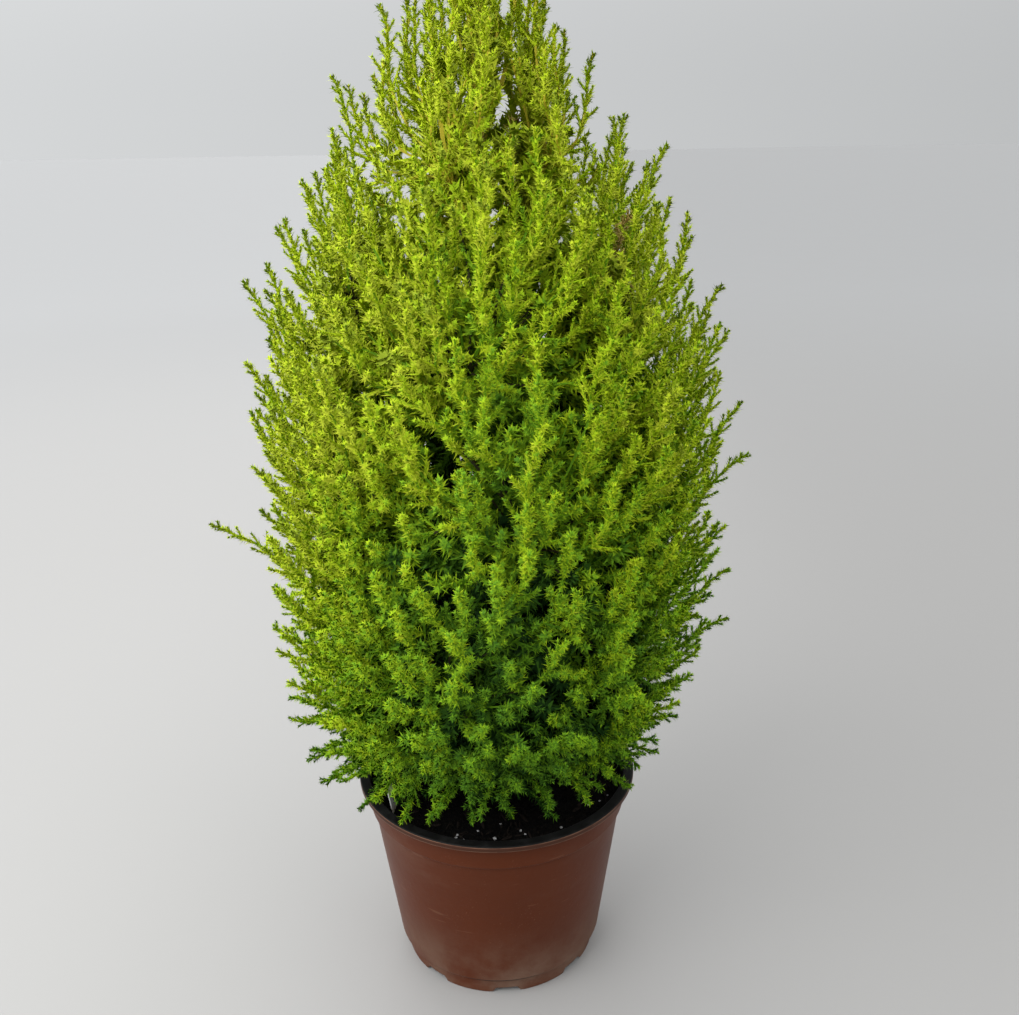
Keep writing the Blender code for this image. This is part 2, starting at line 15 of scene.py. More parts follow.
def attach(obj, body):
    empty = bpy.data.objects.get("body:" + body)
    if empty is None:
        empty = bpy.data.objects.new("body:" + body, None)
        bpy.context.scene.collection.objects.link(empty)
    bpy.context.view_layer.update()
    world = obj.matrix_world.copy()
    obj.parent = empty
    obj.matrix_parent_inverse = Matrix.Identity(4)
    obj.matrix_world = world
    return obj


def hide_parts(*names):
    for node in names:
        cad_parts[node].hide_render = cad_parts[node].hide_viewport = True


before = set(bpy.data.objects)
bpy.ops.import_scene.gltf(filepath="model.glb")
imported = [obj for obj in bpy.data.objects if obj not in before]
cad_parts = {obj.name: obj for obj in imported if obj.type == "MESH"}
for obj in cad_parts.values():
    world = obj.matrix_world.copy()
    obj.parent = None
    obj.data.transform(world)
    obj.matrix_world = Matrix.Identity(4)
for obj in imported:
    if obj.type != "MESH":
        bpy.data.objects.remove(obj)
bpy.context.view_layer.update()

# Camera
# It stands a little lower than the plant's top and looks down on the pot. Its place, tilt and lens
# were worked out from the ellipses of the pot's lip and foot.
PHOTO_WIDTH = 1019
FOCAL_PIXELS = 1100
CAMERA_PLACE = (0.0126, -0.696, 0.601)
CAMERA_TILT = math.radians(20.1)
CAMERA_ROLL = math.radians(0.97)


def placed(name, data):
    """A new object, linked to the scene."""
    made = bpy.data.objects.new(name, data)
    bpy.context.scene.collection.objects.link(made)
    return made


camera_data = bpy.data.cameras.new("camera")
camera_data.sensor_width = 36
camera_data.lens = FOCAL_PIXELS / PHOTO_WIDTH * camera_data.sensor_width
camera = placed("camera", camera_data)
camera.matrix_world = (
    Matrix.Translation(CAMERA_PLACE)
    @ Matrix.Rotation(math.pi / 2 - CAMERA_TILT, 4, "X")
    @ Matrix.Rotation(-CAMERA_ROLL, 4, "Z")
)
bpy.context.scene.camera = camera
bpy.context.scene.view_settings.view_transform = "Standard"


# Floor and light
# A wide pale matt board carries the pot. Its colour holds painted light: it is painted lighter far off,
# where it meets the sky, and darker towards the right as painted shade. A broad soft lamp stands at the
# left in front, with a low one beside it. Weaker ones fill in from the right and from behind, and a pale
# sky lights the rest.
FLOOR_SIZE = 30.0
FLOOR_COLOUR = (0.352, 0.347, 0.338)
# Painted light: the far colour is lighter, making up for the lamps falling off far away
FLOOR_FAR_PAINTED_LIGHT_COLOUR = (0.424, 0.426, 0.424)
FLOOR_PAINTED_LIGHT_FADE = (0.8, 3.4)
# Painted shade: how much darker the board is painted towards the right, and over what span of x
FLOOR_PAINTED_SHADE = 0.24
FLOOR_PAINTED_SHADE_SPAN = (-0.5, 0.6)
SKY_LOW = (0.588, 0.600, 0.606)
SKY_HIGH = (1.68, 1.70, 1.73)
SKY_RISE = (0.0, 0.9)
SKY_LEFT_GAIN = 0.32
LAMPS = (  # name, place, what it is aimed at, size, power
    ("key_lamp", (-1.15, -1.15, 1.85), (0, 0, 0.35), 1.6, 31.5),
    ("side_lamp", (-1.9, -0.35, 0.55), (0, 0, 0.45), 1.5, 8.0),
    ("fill_lamp", (1.6, -1.0, 1.1), (0, 0, 0.3), 1.6, 6.0),
    ("back_lamp", (-0.5, 1.5, 1.6), (0, 0, 0.45), 1.2, 8.0),
)


class Value:
    """A shader socket that can be used in sums."""

    def __init__(self, tree, socket):
        self.tree = tree
        self.socket = socket

    def node(self, kind, output, settings=None, **inputs):
        """Adds a node, sets it up, fills its sockets and returns one of its outputs."""
        made = self.tree.nodes.new(kind)
        for name, value in (settings or {}).items():
            setattr(made, name, value)
        for name, value in inputs.items():
            # A socket goes by its name, or by its number, such as n6
            key = int(name[1:]) if name[1:].isdigit() else name.replace("_", " ")
            if isinstance(value, Value):
                self.tree.links.new(value.socket, made.inputs[key])
            else:
                made.inputs[key].default_value = value
        return Value(self.tree, made.outputs[output])

    def maths(self, operation, *values):
        numbered = {f"n{index}": value for index, value in enumerate(values)}
        return self.node("ShaderNodeMath", 0, {"operation": operation}, **numbered)

    def __add__(self, other):
        return self.maths("ADD", self, other)

    def __sub__(self, other):
        return self.maths("SUBTRACT", self, other)

    def __rsub__(self, other):
        return self.maths("SUBTRACT", other, self)

    def __mul__(self, other):
        return self.maths("MULTIPLY", self, other)

    def __truediv__(self, other):
        return self.maths("DIVIDE", self, other)

    __radd__ = __add__

    def axis(self, name):
        """One coordinate of this vector."""
        return self.node("ShaderNodeSeparateXYZ", name, Vector=self)

    def length(self):
        return self.node("ShaderNodeVectorMath", "Value", {"operation": "LENGTH"}, Vector=self)

    def clamp(self):
        return self.maths("MINIMUM", self.maths("MAXIMUM", self, 0.0), 1.0)

    def step(self, low, high):
        """0 below low and 1 above high, with a soft rise between them."""
        settings = {"interpolation_type": "SMOOTHSTEP"}
        span = {"From_Min": low, "From_Max": high}
        return self.node("ShaderNodeMapRange", "Result", settings, Value=self, **span)

    def noise(self, scale, detail=4.0, roughness=0.55, stretch=(1, 1, 1)):
        """Noise from 0 to 1 at this vector, with its frequency along each axis multiplied by stretch."""
        place = self.node("ShaderNodeMapping", 0, {"vector_type": "POINT"}, Vector=self, Scale=stretch)
        look = {"Scale": scale, "Detail": detail, "Roughness": roughness}
        return self.node("ShaderNodeTexNoise", "Fac", Vector=place, **look)

    def mix(self, first, second):
        """A colour between two by this factor, each a Value or a tuple of red, green and blue."""
        first, second = (side if isinstance(side, Value) else (*side, 1.0) for side in (first, second))
        return self.node("ShaderNodeMix", 2, {"data_type": "RGBA"}, n0=self, n6=first, n7=second)

    def bump(self, strength, distance):
        return self.node("ShaderNodeBump", "Normal", Height=self, Strength=strength, Distance=distance)


def finish_named(name, roughness, specular, colour=(0.8, 0.8, 0.8)):
    """A new material, its Principled shader and the Object coordinates as a Value."""
    made = bpy.data.materials.new(name)
    made.use_nodes = True
    tree = made.node_tree
    shader = tree.nodes["Principled BSDF"]
    shader.inputs["Base Color"].default_value = (*colour, 1.0)
    shader.inputs["Roughness"].default_value = roughness
    shader.inputs["Specular IOR Level"].default_value = specular
    place = Value(tree, tree.nodes.new("ShaderNodeTexCoord").outputs["Object"])
    return made, shader, place


def feed(shader, **inputs):
    for name, value in inputs.items():
        shader.id_data.links.new(value.socket, shader.inputs[name.replace("_", " ")])


def mesh_from(bm, name, *finishes):
    """Turns a bmesh into a mesh that wears these finishes."""
    mesh = bpy.data.meshes.new(name)
    bm.to_mesh(mesh)
    bm.free()
    for finish in finishes:
        mesh.materials.append(finish)
    return mesh


floor_finish, shader, place = finish_named("pale_board", 0.6, 0.3)
# Painted light: the board is painted lighter far off, so that it meets the sky
board = place.length().step(*FLOOR_PAINTED_LIGHT_FADE).mix(FLOOR_COLOUR, FLOOR_FAR_PAINTED_LIGHT_COLOUR)
# Painted shade: the board is painted darker towards the right, away from the lamps at the left
board = (place.axis("X").step(*FLOOR_PAINTED_SHADE_SPAN) * FLOOR_PAINTED_SHADE).mix(board, (0, 0, 0))
feed(shader, Base_Color=board, Roughness=0.58 + place.noise(9.0, 5.0) * 0.04)

bm = bmesh.new()
bmesh.ops.create_grid(bm, x_segments=1, y_segments=1, size=FLOOR_SIZE / 2)
floor = placed("floor", mesh_from(bm, "floor", floor_finish))

world = bpy.data.worlds.new("pale_sky")
bpy.context.scene.world = world
world.use_nodes = True
sky = world.node_tree
direction = Value(sky, sky.nodes.new("ShaderNodeTexCoord").outputs["Generated"])
feed(
    sky.nodes["Background"],
    Color=direction.axis("Z").step(*SKY_RISE).mix(SKY_LOW, SKY_HIGH),
    Strength=1 - direction.axis("X") * SKY_LEFT_GAIN,
)

for name, place, aim, size, power in LAMPS:
    light = bpy.data.lights.new(name, "AREA")
    light.size = size
    light.energy = power
    lamp = placed(name, light)
    lamp.location = place
    lamp.rotation_euler = (Vector(aim) - Vector(place)).to_track_quat("-Z", "Y").to_euler()


# Pot
# A thermoformed nursery pot, drawn in one go from a thin two-layer plastic sheet: brown outside, black
# inside and over the rolled lip. Round its foot run notches that let the water out.
POT_HEIGHT = 0.1475
LIP_RADIUS = 0.100
LIP_HEIGHT = 0.0045
LIP_ROOT = 0.0006
LIP_STEP = 0.0018
BAND_HEIGHT = 0.018
BAND_RADIUS = 0.0940
BAND_TAPER = 0.0009
STEP_DEPTH = 0.0015
WALL_TOP_RADIUS = 0.0908
WALL_FOOT_RADIUS = 0.0757
FOOT_HEIGHT = 0.0135
FOOT_RADIUS = 0.0708
FOOT_TAPER = 0.0012
FOOT_EDGE_HEIGHT = 0.0045
FOOT_RING_WIDTH = 0.011
FOOT_RING_HEIGHT = 0.0055
FOOT_RING_SLOPE = 0.001
SHEET = 0.0014
NOTCH_COUNT = 8
NOTCH_AZIMUTH = math.radians(-86)
NOTCH_WIDTH = 0.021
NOTCH_TOP_SHARE = 0.78
NOTCH_HEIGHT = 0.004
NOTCH_DEPTH = 0.0085
NOTCH_BACK = 0.0002
STEPS_A_NOTCH = 22
ARC_POINTS = 5
POT_BROWN = (0.094, 0.0205, 0.0050)
POT_BROWN_DARK = (0.070, 0.018, 0.0075)
POT_DUST = (0.152, 0.092, 0.064)
POT_BLACK = (0.0045, 0.0045, 0.0043)
POT_BLACK_DUST = (0.030, 0.030, 0.029)
LIP_BROWN = (0.040, 0.019, 0.0125)
# The pale colour of the real scratches and specks, also used for the painted highlights on the lip
SCRATCH_AND_HIGHLIGHT_COLOUR = (0.30, 0.16, 0.10)
BLACK_EDGE = 0.0006  # how far the lip's black top reaches down its outer face
# Painted highlights: pale lines along the lip's two outer edges, where the light catches them
PAINTED_HIGHLIGHT_EDGES = (POT_HEIGHT - 0.0008, POT_HEIGHT - LIP_HEIGHT + 0.0003)
PAINTED_HIGHLIGHT_WIDTH = 0.0007
LIP_BLUR = 0.0004
DUST_HEIGHT = (0.004, 0.072)


def even_shares(count):
    """Numbers from 0 to 1 in equal steps."""
    return [index / (count - 1) for index in range(count)]


def smooth_profile(corners):
    """The points of a profile from (radius, height, rounding) corners."""
    flat = [Vector(corner[:2]) for corner in corners]
    points = [flat[0]]
    for before, corner, after, (_, _, rounding) in zip(flat, flat[1:], flat[2:], corners[1:]):
        start = corner + (before - corner).normalized() * rounding
        end = corner + (after - corner).normalized() * rounding
        points += [
            (1 - share) ** 2 * start + 2 * share * (1 - share) * corner + share**2 * end
            for share in (even_shares(ARC_POINTS) if rounding else [0])
        ]
    return points + [flat[-1]]


def spun(profile, steps, first_angle=0.0):
    """A closed turned bmesh from a profile of (radius, height) points that ends on the axis."""
    bm = bmesh.new()
    turn = Matrix.Rotation(first_angle, 3, "Z")
    row = [bm.verts.new(turn @ Vector((point[0], 0, point[1]))) for point in profile]
    edges = [bm.edges.new(pair) for pair in zip(row, row[1:])]
    bmesh.ops.spin(
        bm,
        geom=row + edges,
        axis=(0, 0, 1),
        cent=(0, 0, 0),
        angle=2 * math.pi,
        steps=steps,
        use_merge=True,
    )
    bmesh.ops.remove_doubles(bm, verts=bm.verts, dist=0.00001)
    bmesh.ops.recalc_face_normals(bm, faces=bm.faces)
    return bm


def stand_in(mesh, replaced):
    """Puts a mesh in the scene as a piece of the plant, for the nodes that it replaces."""
    piece = placed(mesh.name, mesh)
    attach(piece, "root")
    if replaced:
        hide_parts(*replaced)


def add_piece(name, bm, slot, *finishes, smooth=True, replaced=()):
    mesh = mesh_from(bm, name, *finishes)
    mesh.polygons.foreach_set("use_smooth", [smooth] * len(mesh.polygons))
    stand_in(mesh, replaced)


lip_foot = POT_HEIGHT - LIP_HEIGHT
band_foot = lip_foot - BAND_HEIGHT
inner_lip = BAND_RADIUS - SHEET
inner_band = BAND_RADIUS - STEP_DEPTH - SHEET
foot_ring = FOOT_RADIUS - NOTCH_DEPTH
ring_inside = FOOT_RADIUS - SHEET - FOOT_RING_WIDTH
pot_corners = (  # radius, height, rounding
    (0, SHEET, 0),
    (ring_inside, SHEET, 0.001),
    (ring_inside + FOOT_RING_SLOPE, FOOT_RING_HEIGHT, 0.001),
    (FOOT_RADIUS - SHEET, FOOT_RING_HEIGHT + 0.0001, 0.001),
    (WALL_FOOT_RADIUS - SHEET, FOOT_HEIGHT + 2 * STEP_DEPTH, 0.001),
    (WALL_TOP_RADIUS - SHEET, band_foot, 0.0008),
    (inner_band, band_foot + STEP_DEPTH, 0.0008),
    (inner_lip, lip_foot + LIP_STEP, 0.0008),
    (inner_lip, POT_HEIGHT, 0.0012),
    (LIP_RADIUS, POT_HEIGHT, 0.0014),
    (LIP_RADIUS, lip_foot, 0.0010),
    (BAND_RADIUS + LIP_ROOT, lip_foot, 0.0006),
    (BAND_RADIUS - BAND_TAPER, band_foot, 0.0007),
    (WALL_TOP_RADIUS, band_foot - STEP_DEPTH, 0.0007),
    (WALL_FOOT_RADIUS, FOOT_HEIGHT + STEP_DEPTH, 0.0008),
    (FOOT_RADIUS + FOOT_TAPER, FOOT_HEIGHT - STEP_DEPTH, 0.0008),
    (FOOT_RADIUS, FOOT_EDGE_HEIGHT, 0),
    (FOOT_RADIUS, 0, 0.0009),
    (foot_ring + NOTCH_BACK, 0, 0),
    (foot_ring, 0, 0),
    (0, 0, 0),
)
bm = spun(smooth_profile(pot_corners), NOTCH_COUNT * STEPS_A_NOTCH, NOTCH_AZIMUTH)

# The notches are pressed up into the foot, with sloping ends
pitch = 2 * math.pi / NOTCH_COUNT
notch_foot, notch_top = NOTCH_WIDTH / 2, NOTCH_WIDTH / 2 * NOTCH_TOP_SHARE
for vert in bm.verts:
    radius = math.hypot(vert.co.x, vert.co.y)
    if vert.co.z < FOOT_EDGE_HEIGHT + 0.0001 and radius > foot_ring + NOTCH_BACK / 2:
        away = abs(math.remainder(math.atan2(vert.co.y, vert.co.x) - NOTCH_AZIMUTH, pitch)) * radius
        rise = min(1.0, max(0.0, (notch_foot - away) / (notch_foot - notch_top)))
        vert.co.z = max(vert.co.z, NOTCH_HEIGHT * rise)

black_plastic, shader, place = finish_named("black_pot_plastic", 0.5, 0.09)
dust = place.noise(60.0, 6.0, 0.7).step(0.45, 0.75)
feed(
    shader,
    Base_Color=(dust * 0.35).mix(POT_BLACK, POT_BLACK_DUST),
    Roughness=0.48 + dust * 0.3,
    Normal=place.noise(420.0, 3.0).bump(0.25, 0.0004),
)

brown_plastic, shader, place = finish_named("brown_pot_plastic", 0.5, 0.10)
height = place.axis("Z")
mottle = place.noise(18.0, 5.0)
low_dust = (1 - height.step(*DUST_HEIGHT)) * place.noise(26.0, 6.0, 0.65).step(0.30, 0.72)
wiped_dust = place.noise(7.0, 5.0, 0.6, (1, 1, 2.5)).step(0.48, 0.80) * 0.50
specks = place.noise(900.0, 2.0).step(0.66, 0.72) * place.noise(40.0, 3.0).step(0.45, 0.7)
scratches = place.noise(32.0, 2.0, 0.5, (1, 1, 9)).step(0.705, 0.735)
wall = mottle.mix(POT_BROWN, POT_BROWN_DARK)
lip = height.step(lip_foot - LIP_BLUR, lip_foot + LIP_BLUR)
body = (lip * 0.8).mix(wall, LIP_BROWN)
dusty = (low_dust * 0.85 + wiped_dust).clamp().mix(body, POT_DUST)
# Painted highlights along the lip's two outer edges, broken up by a noise
painted_highlights = 0
for edge in PAINTED_HIGHLIGHT_EDGES:
    away = (height - edge) / PAINTED_HIGHLIGHT_WIDTH
    painted_highlights = painted_highlights + (1 - away * away).clamp() * place.noise(50.0, 4.0).step(0.25, 0.6)
# Real scratches and specks, and the painted highlights on the lip's edges, take the pale colour
scratched_and_highlighted = (scratches * 0.13 + specks * 0.35 + painted_highlights * 0.5).clamp().mix(dusty, SCRATCH_AND_HIGHLIGHT_COLOUR)
feed(
    shader,
    Base_Color=scratched_and_highlighted,
    Roughness=(0.34 + mottle * 0.12 + low_dust * 0.25 + wiped_dust * 0.2).clamp(),
    Normal=(place.noise(160.0, 4.0) * 0.6 + place.noise(14.0, 3.0)).bump(0.22, 0.0012),
)

for face in bm.faces:
    middle = face.calc_center_median()
    outside = face.normal.x * middle.x + face.normal.y * middle.y > 0 or middle.z < SHEET / 2
    face.material_index = int(outside and middle.z < POT_HEIGHT - BLACK_EDGE)
add_piece("pot_shell", bm, "pot", black_plastic, brown_plastic, replaced=("pot",))


# Soil
# Loose dark peat and shredded bark fill the pot to just under its lip, a little higher round the trunk.
# Crumbs, bark shreds and white perlite grains lie on it.
SOIL_TOP = 0.139
SOIL_MOUND = 0.002
MOUND_RADIUS = 0.08
SOIL_GAP = 0.0004
SOIL_EDGE = 0.0003
SOIL_RINGS = 46
SOIL_STEPS = 150
LUMP_HEIGHT, LUMPS_A_METRE = 0.0016, 70
ROUGH_HEIGHT, ROUGH_A_METRE = 0.0007, 420
LUMPS_FROM = 0.02
RING_CLEAR = 0.0005
# Loose lumps: how many, and how far from the wall and the middle; smallest and largest size; then the
# spans of width, depth and height, how much of its size a middle lies up, and how fine the mesh is
CRUMBS = (1200, 0.003, 0.012), (0.0004, 0.0017), (((0.8, 1.4), (0.7, 1.1), (0.5, 0.9)), 0.2, 1)
SHREDS = (260, 0.005, 0.012), (0.0008, 0.0022), (((1.6, 3.2), (0.4, 0.8), (0.2, 0.4)), 0.25, 1)
GRAINS = (20, 0.004, 0.055), (0.0005, 0.0012), (((0.8, 1.2), (0.8, 1.2), (0.6, 0.9)), 0.35, 2)
LUMP_ROUGHNESS = 0.45
LUMP_TURN, LUMP_TILT = 6.3, 0.5
LUMP_NOISE_SIZE, LUMP_NOISE_SPREAD = 1.6, 9
SOIL_BLACK = (0.0014, 0.0013, 0.0013)
SOIL_BROWN = (0.0060, 0.0048, 0.0038)
SHRED_BROWN = (0.016, 0.011, 0.008)
PERLITE_WHITE = (0.36, 0.36, 0.36)
PERLITE_SHADE = (0.16, 0.155, 0.15)
SEEN_GRAIN_SIZES = (0.0008, 0.0014)
SEEN_GRAINS = (  # x and y of the grains that show in front
    (-0.0270, -0.0790),
    (-0.0125, -0.0715),
    (-0.0010, -0.0795),
    (0.0165, -0.0725),
    (0.0195, -0.0770),
)


def soil_height(x, y):
    radius = math.hypot(x, y)
    mound = SOIL_MOUND * max(0.0, 1 - radius / MOUND_RADIUS) ** 0.7
    lumps = noise.noise(Vector((x, y, 0.3)) * LUMPS_A_METRE) * LUMP_HEIGHT
    rough = noise.noise(Vector((x, y, 0.7)) * ROUGH_A_METRE) * ROUGH_HEIGHT
    return SOIL_TOP + mound + lumps * min(1.0, radius / LUMPS_FROM) + rough


wall_at_soil = inner_lip - SOIL_GAP - SOIL_EDGE
soil_corners = [(wall_at_soil * ring / SOIL_RINGS, SOIL_TOP) for ring in range(SOIL_RINGS + 1)]
soil_corners += [
    (inner_band - SOIL_GAP, band_foot + STEP_DEPTH),
    (WALL_TOP_RADIUS - SHEET - SOIL_GAP, band_foot),
    (WALL_FOOT_RADIUS - SHEET - SOIL_GAP, FOOT_HEIGHT + 2 * STEP_DEPTH + SOIL_GAP),
    (FOOT_RADIUS - 2 * SHEET, FOOT_RING_HEIGHT + SHEET / 2),
    (ring_inside - RING_CLEAR, FOOT_RING_HEIGHT + SHEET / 2),
    (ring_inside - RING_CLEAR - FOOT_RING_SLOPE, SHEET + SOIL_GAP),
    (0, SHEET + SOIL_GAP),
]
bm = spun([Vector(corner) for corner in soil_corners], SOIL_STEPS)
for vert in bm.verts:
    if vert.co.z > SOIL_TOP - 0.0001:
        vert.co.z = soil_height(vert.co.x, vert.co.y)

soil_finish, shader, place = finish_named("peat_mix", 0.92, 0.05)
crumbs = place.noise(330.0, 6.0, 0.7)
feed(
    shader,
    Base_Color=crumbs.step(0.42, 0.66).mix(SOIL_BLACK, SOIL_BROWN),
    Roughness=0.82 + crumbs * 0.15,
    Normal=(crumbs + place.noise(1300.0, 3.0) * 0.5).bump(0.8, 0.0012),
)
add_piece("soil_body", bm, "soil", soil_finish, replaced=("soil",))


def lump(radius, stretch, rng, detail):
    """One rough crumb as arrays of its corners and triangles."""
    bm = bmesh.new()
    bmesh.ops.create_icosphere(bm, subdivisions=detail, radius=1)
    offset = Vector((rng.random(), rng.random(), rng.random())) * LUMP_NOISE_SPREAD
    turn = Matrix.Rotation(rng.uniform(0, LUMP_TURN), 3, "Z")
    turn @= Matrix.Rotation(rng.uniform(-LUMP_TILT, LUMP_TILT), 3, "X")
    corners = []
    for vert in bm.verts:
        rough = vert.co * radius * (1 + LUMP_ROUGHNESS * noise.noise(vert.co * LUMP_NOISE_SIZE + offset))
        corners.append(turn @ Vector([axis * size for axis, size in zip(rough, stretch)]))
    triangles = [[corner.index for corner in face.verts] for face in bm.faces]
    bm.free()
    return np.array(corners), np.array(triangles)


def joined(name, chunks, finishes, smooth=False, replaced=(), normals=None):
    """A piece joined from many (corners, triangles, finish numbers) chunks."""
    corners, triangles, numbers = zip(*chunks)
    starts = np.cumsum([0] + [len(part) for part in corners])
    worn = [np.broadcast_to(number, len(part)) for number, part in zip(numbers, triangles)]
    triangles = np.concatenate([part + start for part, start in zip(triangles, starts)]).astype(np.int32)
    corners = np.concatenate(corners).astype(np.float32)
    mesh = bpy.data.meshes.new(name)
    mesh.vertices.add(len(corners))
    mesh.vertices.foreach_set("co", corners.ravel())
    mesh.loops.add(triangles.size)
    mesh.loops.foreach_set("vertex_index", triangles.ravel())
    mesh.polygons.add(len(triangles))
    mesh.polygons.foreach_set("loop_start", np.arange(0, triangles.size, 3, dtype=np.int32))
    mesh.polygons.foreach_set("material_index", np.concatenate(worn).astype(np.int32))
    mesh.polygons.foreach_set("use_smooth", np.full(len(triangles), smooth))
    for finish in finishes:
        mesh.materials.append(finish)
    mesh.update(calc_edges=True)
    mesh.validate()
    if normals is not None:
        mesh.normals_split_custom_set_from_vertices(normals)
    stand_in(mesh, replaced)


def scattered(rng, count, from_wall, from_middle):
    """Places spread evenly over the soil between the trunk and the wall."""
    places = []
    while len(places) < count:
        angle = rng.uniform(0, 2 * math.pi)
        radius = (wall_at_soil - from_wall) * math.sqrt(rng.random())
        if radius > from_middle:
            places.append((radius * math.cos(angle), radius * math.sin(angle)))
    return places


def lying_lumps(rng, places, sizes, kind):
    shape, lift, detail = kind
    chunks = []
    for x, y in places:
        size = rng.uniform(*sizes)
        corners, triangles = lump(size, [rng.uniform(*span) for span in shape], rng, detail)
        chunks.append((corners + (x, y, soil_height(x, y) + size * lift), triangles, 0))
    return chunks


rng = random.Random("crumbs")
spread, sizes, kind = CRUMBS
crumb_chunks = lying_lumps(rng, scattered(rng, *spread), sizes, kind)
crumb_finish, shader, place = finish_named("peat_crumbs", 0.9, 0.05)
shade = place.noise(240.0, 3.0)
feed(
    shader,
    Base_Color=shade.step(0.4, 0.68).mix(SOIL_BLACK, SOIL_BROWN),
    Normal=place.noise(1500.0, 3.0).bump(0.6, 0.0006),
)
joined("soil_crumbs", crumb_chunks, [crumb_finish])

spread, sizes, kind = SHREDS
shred_chunks = lying_lumps(rng, scattered(rng, *spread), sizes, kind)
shred_finish, shader, place = finish_named("bark_shreds", 0.85, 0.08)
shade = place.noise(300.0, 4.0)
feed(
    shader,
    Base_Color=shade.mix(SOIL_BLACK, SHRED_BROWN),
    Normal=place.noise(900.0, 3.0).bump(0.6, 0.0006),
)
joined("bark_shreds", shred_chunks, [shred_finish])

spread, sizes, kind = GRAINS
places = scattered(rng, *spread)
grain_chunks = lying_lumps(rng, SEEN_GRAINS, SEEN_GRAIN_SIZES, kind)
grain_chunks += lying_lumps(rng, places, sizes, kind)
grain_finish, shader, place = finish_named("perlite", 0.85, 0.3)
shade = place.noise(1100.0, 4.0, 0.7)
feed(
    shader,
    Base_Color=shade.step(0.35, 0.6).mix(PERLITE_SHADE, PERLITE_WHITE),
    Normal=shade.bump(0.7, 0.0004),
)
joined("perlite_grains", grain_chunks, [grain_finish], smooth=True)


# Plant label
# A slim blank strip of white plastic with rounded ends, pushed down between the soil and the wall. It
# leans out with the wall, and its foot is stained by the wet soil.
LABEL_WIDTH = 0.011
LABEL_THICKNESS = 0.0008
LABEL_LENGTH = 0.056
LABEL_MIDDLE = (-0.0700, -0.0450, 0.132)
LABEL_TURN = math.radians(83)
LABEL_LEAN = math.radians(9.5)
LABEL_CORNER = 0.0032
LABEL_EDGE = 0.00018
SHARP_ANGLE = 1.2
LABEL_WET = (0.139, 0.150)  # the stain fades between these heights
LABEL_WHITE = (0.70, 0.71, 0.69)
LABEL_STAIN = (0.24, 0.19, 0.14)

bm = bmesh.new()
bmesh.ops.create_cube(bm, size=1)
bmesh.ops.scale(bm, vec=(LABEL_WIDTH, LABEL_THICKNESS, LABEL_LENGTH), verts=bm.verts)
ends = [e for e in bm.edges if abs((e.verts[0].co - e.verts[1].co).y) > LABEL_THICKNESS / 2]
rounding = {"offset_type": "OFFSET", "affect": "EDGES", "profile": 0.5, "material": -1}
bmesh.ops.bevel(bm, geom=ends, offset=LABEL_CORNER, segments=6, **rounding)
rims = [e for e in bm.edges if len(e.link_faces) == 2 and e.calc_face_angle() > SHARP_ANGLE]
bmesh.ops.bevel(bm, geom=rims, offset=LABEL_EDGE, segments=2, **rounding)
label_place = (
    Matrix.Translation(LABEL_MIDDLE)
    @ Matrix.Rotation(-LABEL_LEAN, 4, "Y")
    @ Matrix.Rotation(LABEL_TURN, 4, "Z")
)
bmesh.ops.transform(bm, matrix=label_place, verts=bm.verts)
label_finish, shader, place = finish_named("label_plastic", 0.4, 0.5)
height = place.axis("Z")
stain = (1 - height.step(*LABEL_WET)) * (0.4 + place.noise(300.0, 4.0))
feed(
    shader,
    Base_Color=stain.clamp().mix(LABEL_WHITE, LABEL_STAIN),
    Roughness=0.36 + place.noise(120.0, 3.0) * 0.2,
    Normal=place.noise(260.0, 3.0).bump(0.1, 0.0003),
)
add_piece("label_strip", bm, "plant_label", label_finish, smooth=False, replaced=("plant_label",))


# Trunk
# One slim woody stem, thicker at its flared foot, with thin red-brown bark that peels in long strips,
# and golden-brown bark higher up. It stands on the soil and runs up through the whole crown to the
# leader.
TRUNK_GAP = 0.0003
TRUNK_FOOT = SOIL_TOP + SOIL_MOUND + TRUNK_GAP
TRUNK_TOP = 0.602
TRUNK_FOOT_RADIUS = 0.0062
TRUNK_TIP_RADIUS = 0.0013
ROOT_FLARE = 0.0038
FLARE_HEIGHT = 0.009
TRUNK_SWAY = 0.0016
SWAY_TURNS = (5, 4)
TRUNK_SIDES = 32
TRUNK_RINGS = 150
RING_CROWDING = 1.3
BARK_RELIEF = 0.10
STRIPS_ROUND, STRIPS_A_METRE = 3.2, 28
KNOTS_ROUND, KNOTS_A_METRE = 1.5, 90
KNOT_SHARE = 0.5
RELIEF_SUNK = 0.35
BARK_RED = (0.155, 0.068, 0.034)
BARK_DARK = (0.045, 0.022, 0.013)
BARK_GREY = (0.23, 0.17, 0.125)
BARK_YOUNG = (0.300, 0.230, 0.045)
YOUNG_BARK = (0.32, 0.48)


def blend(low, high, share):
    return low + (high - low) * share


def trunk_axis(height):
    """The trunk's middle, which sways a little and is back on the axis at both ends."""
    share = (height - TRUNK_FOOT) / (TRUNK_TOP - TRUNK_FOOT)
    sway = TRUNK_SWAY * math.sin(math.pi * share)
    right, back = (turns * share for turns in SWAY_TURNS)
    return Vector((sway * math.sin(right), sway * math.cos(back), height))


def trunk_radius(height):
    share = (height - TRUNK_FOOT) / (TRUNK_TOP - TRUNK_FOOT)
    straight = blend(TRUNK_FOOT_RADIUS, TRUNK_TIP_RADIUS, share)
    return straight + ROOT_FLARE * math.exp(-(height - TRUNK_FOOT) / FLARE_HEIGHT)


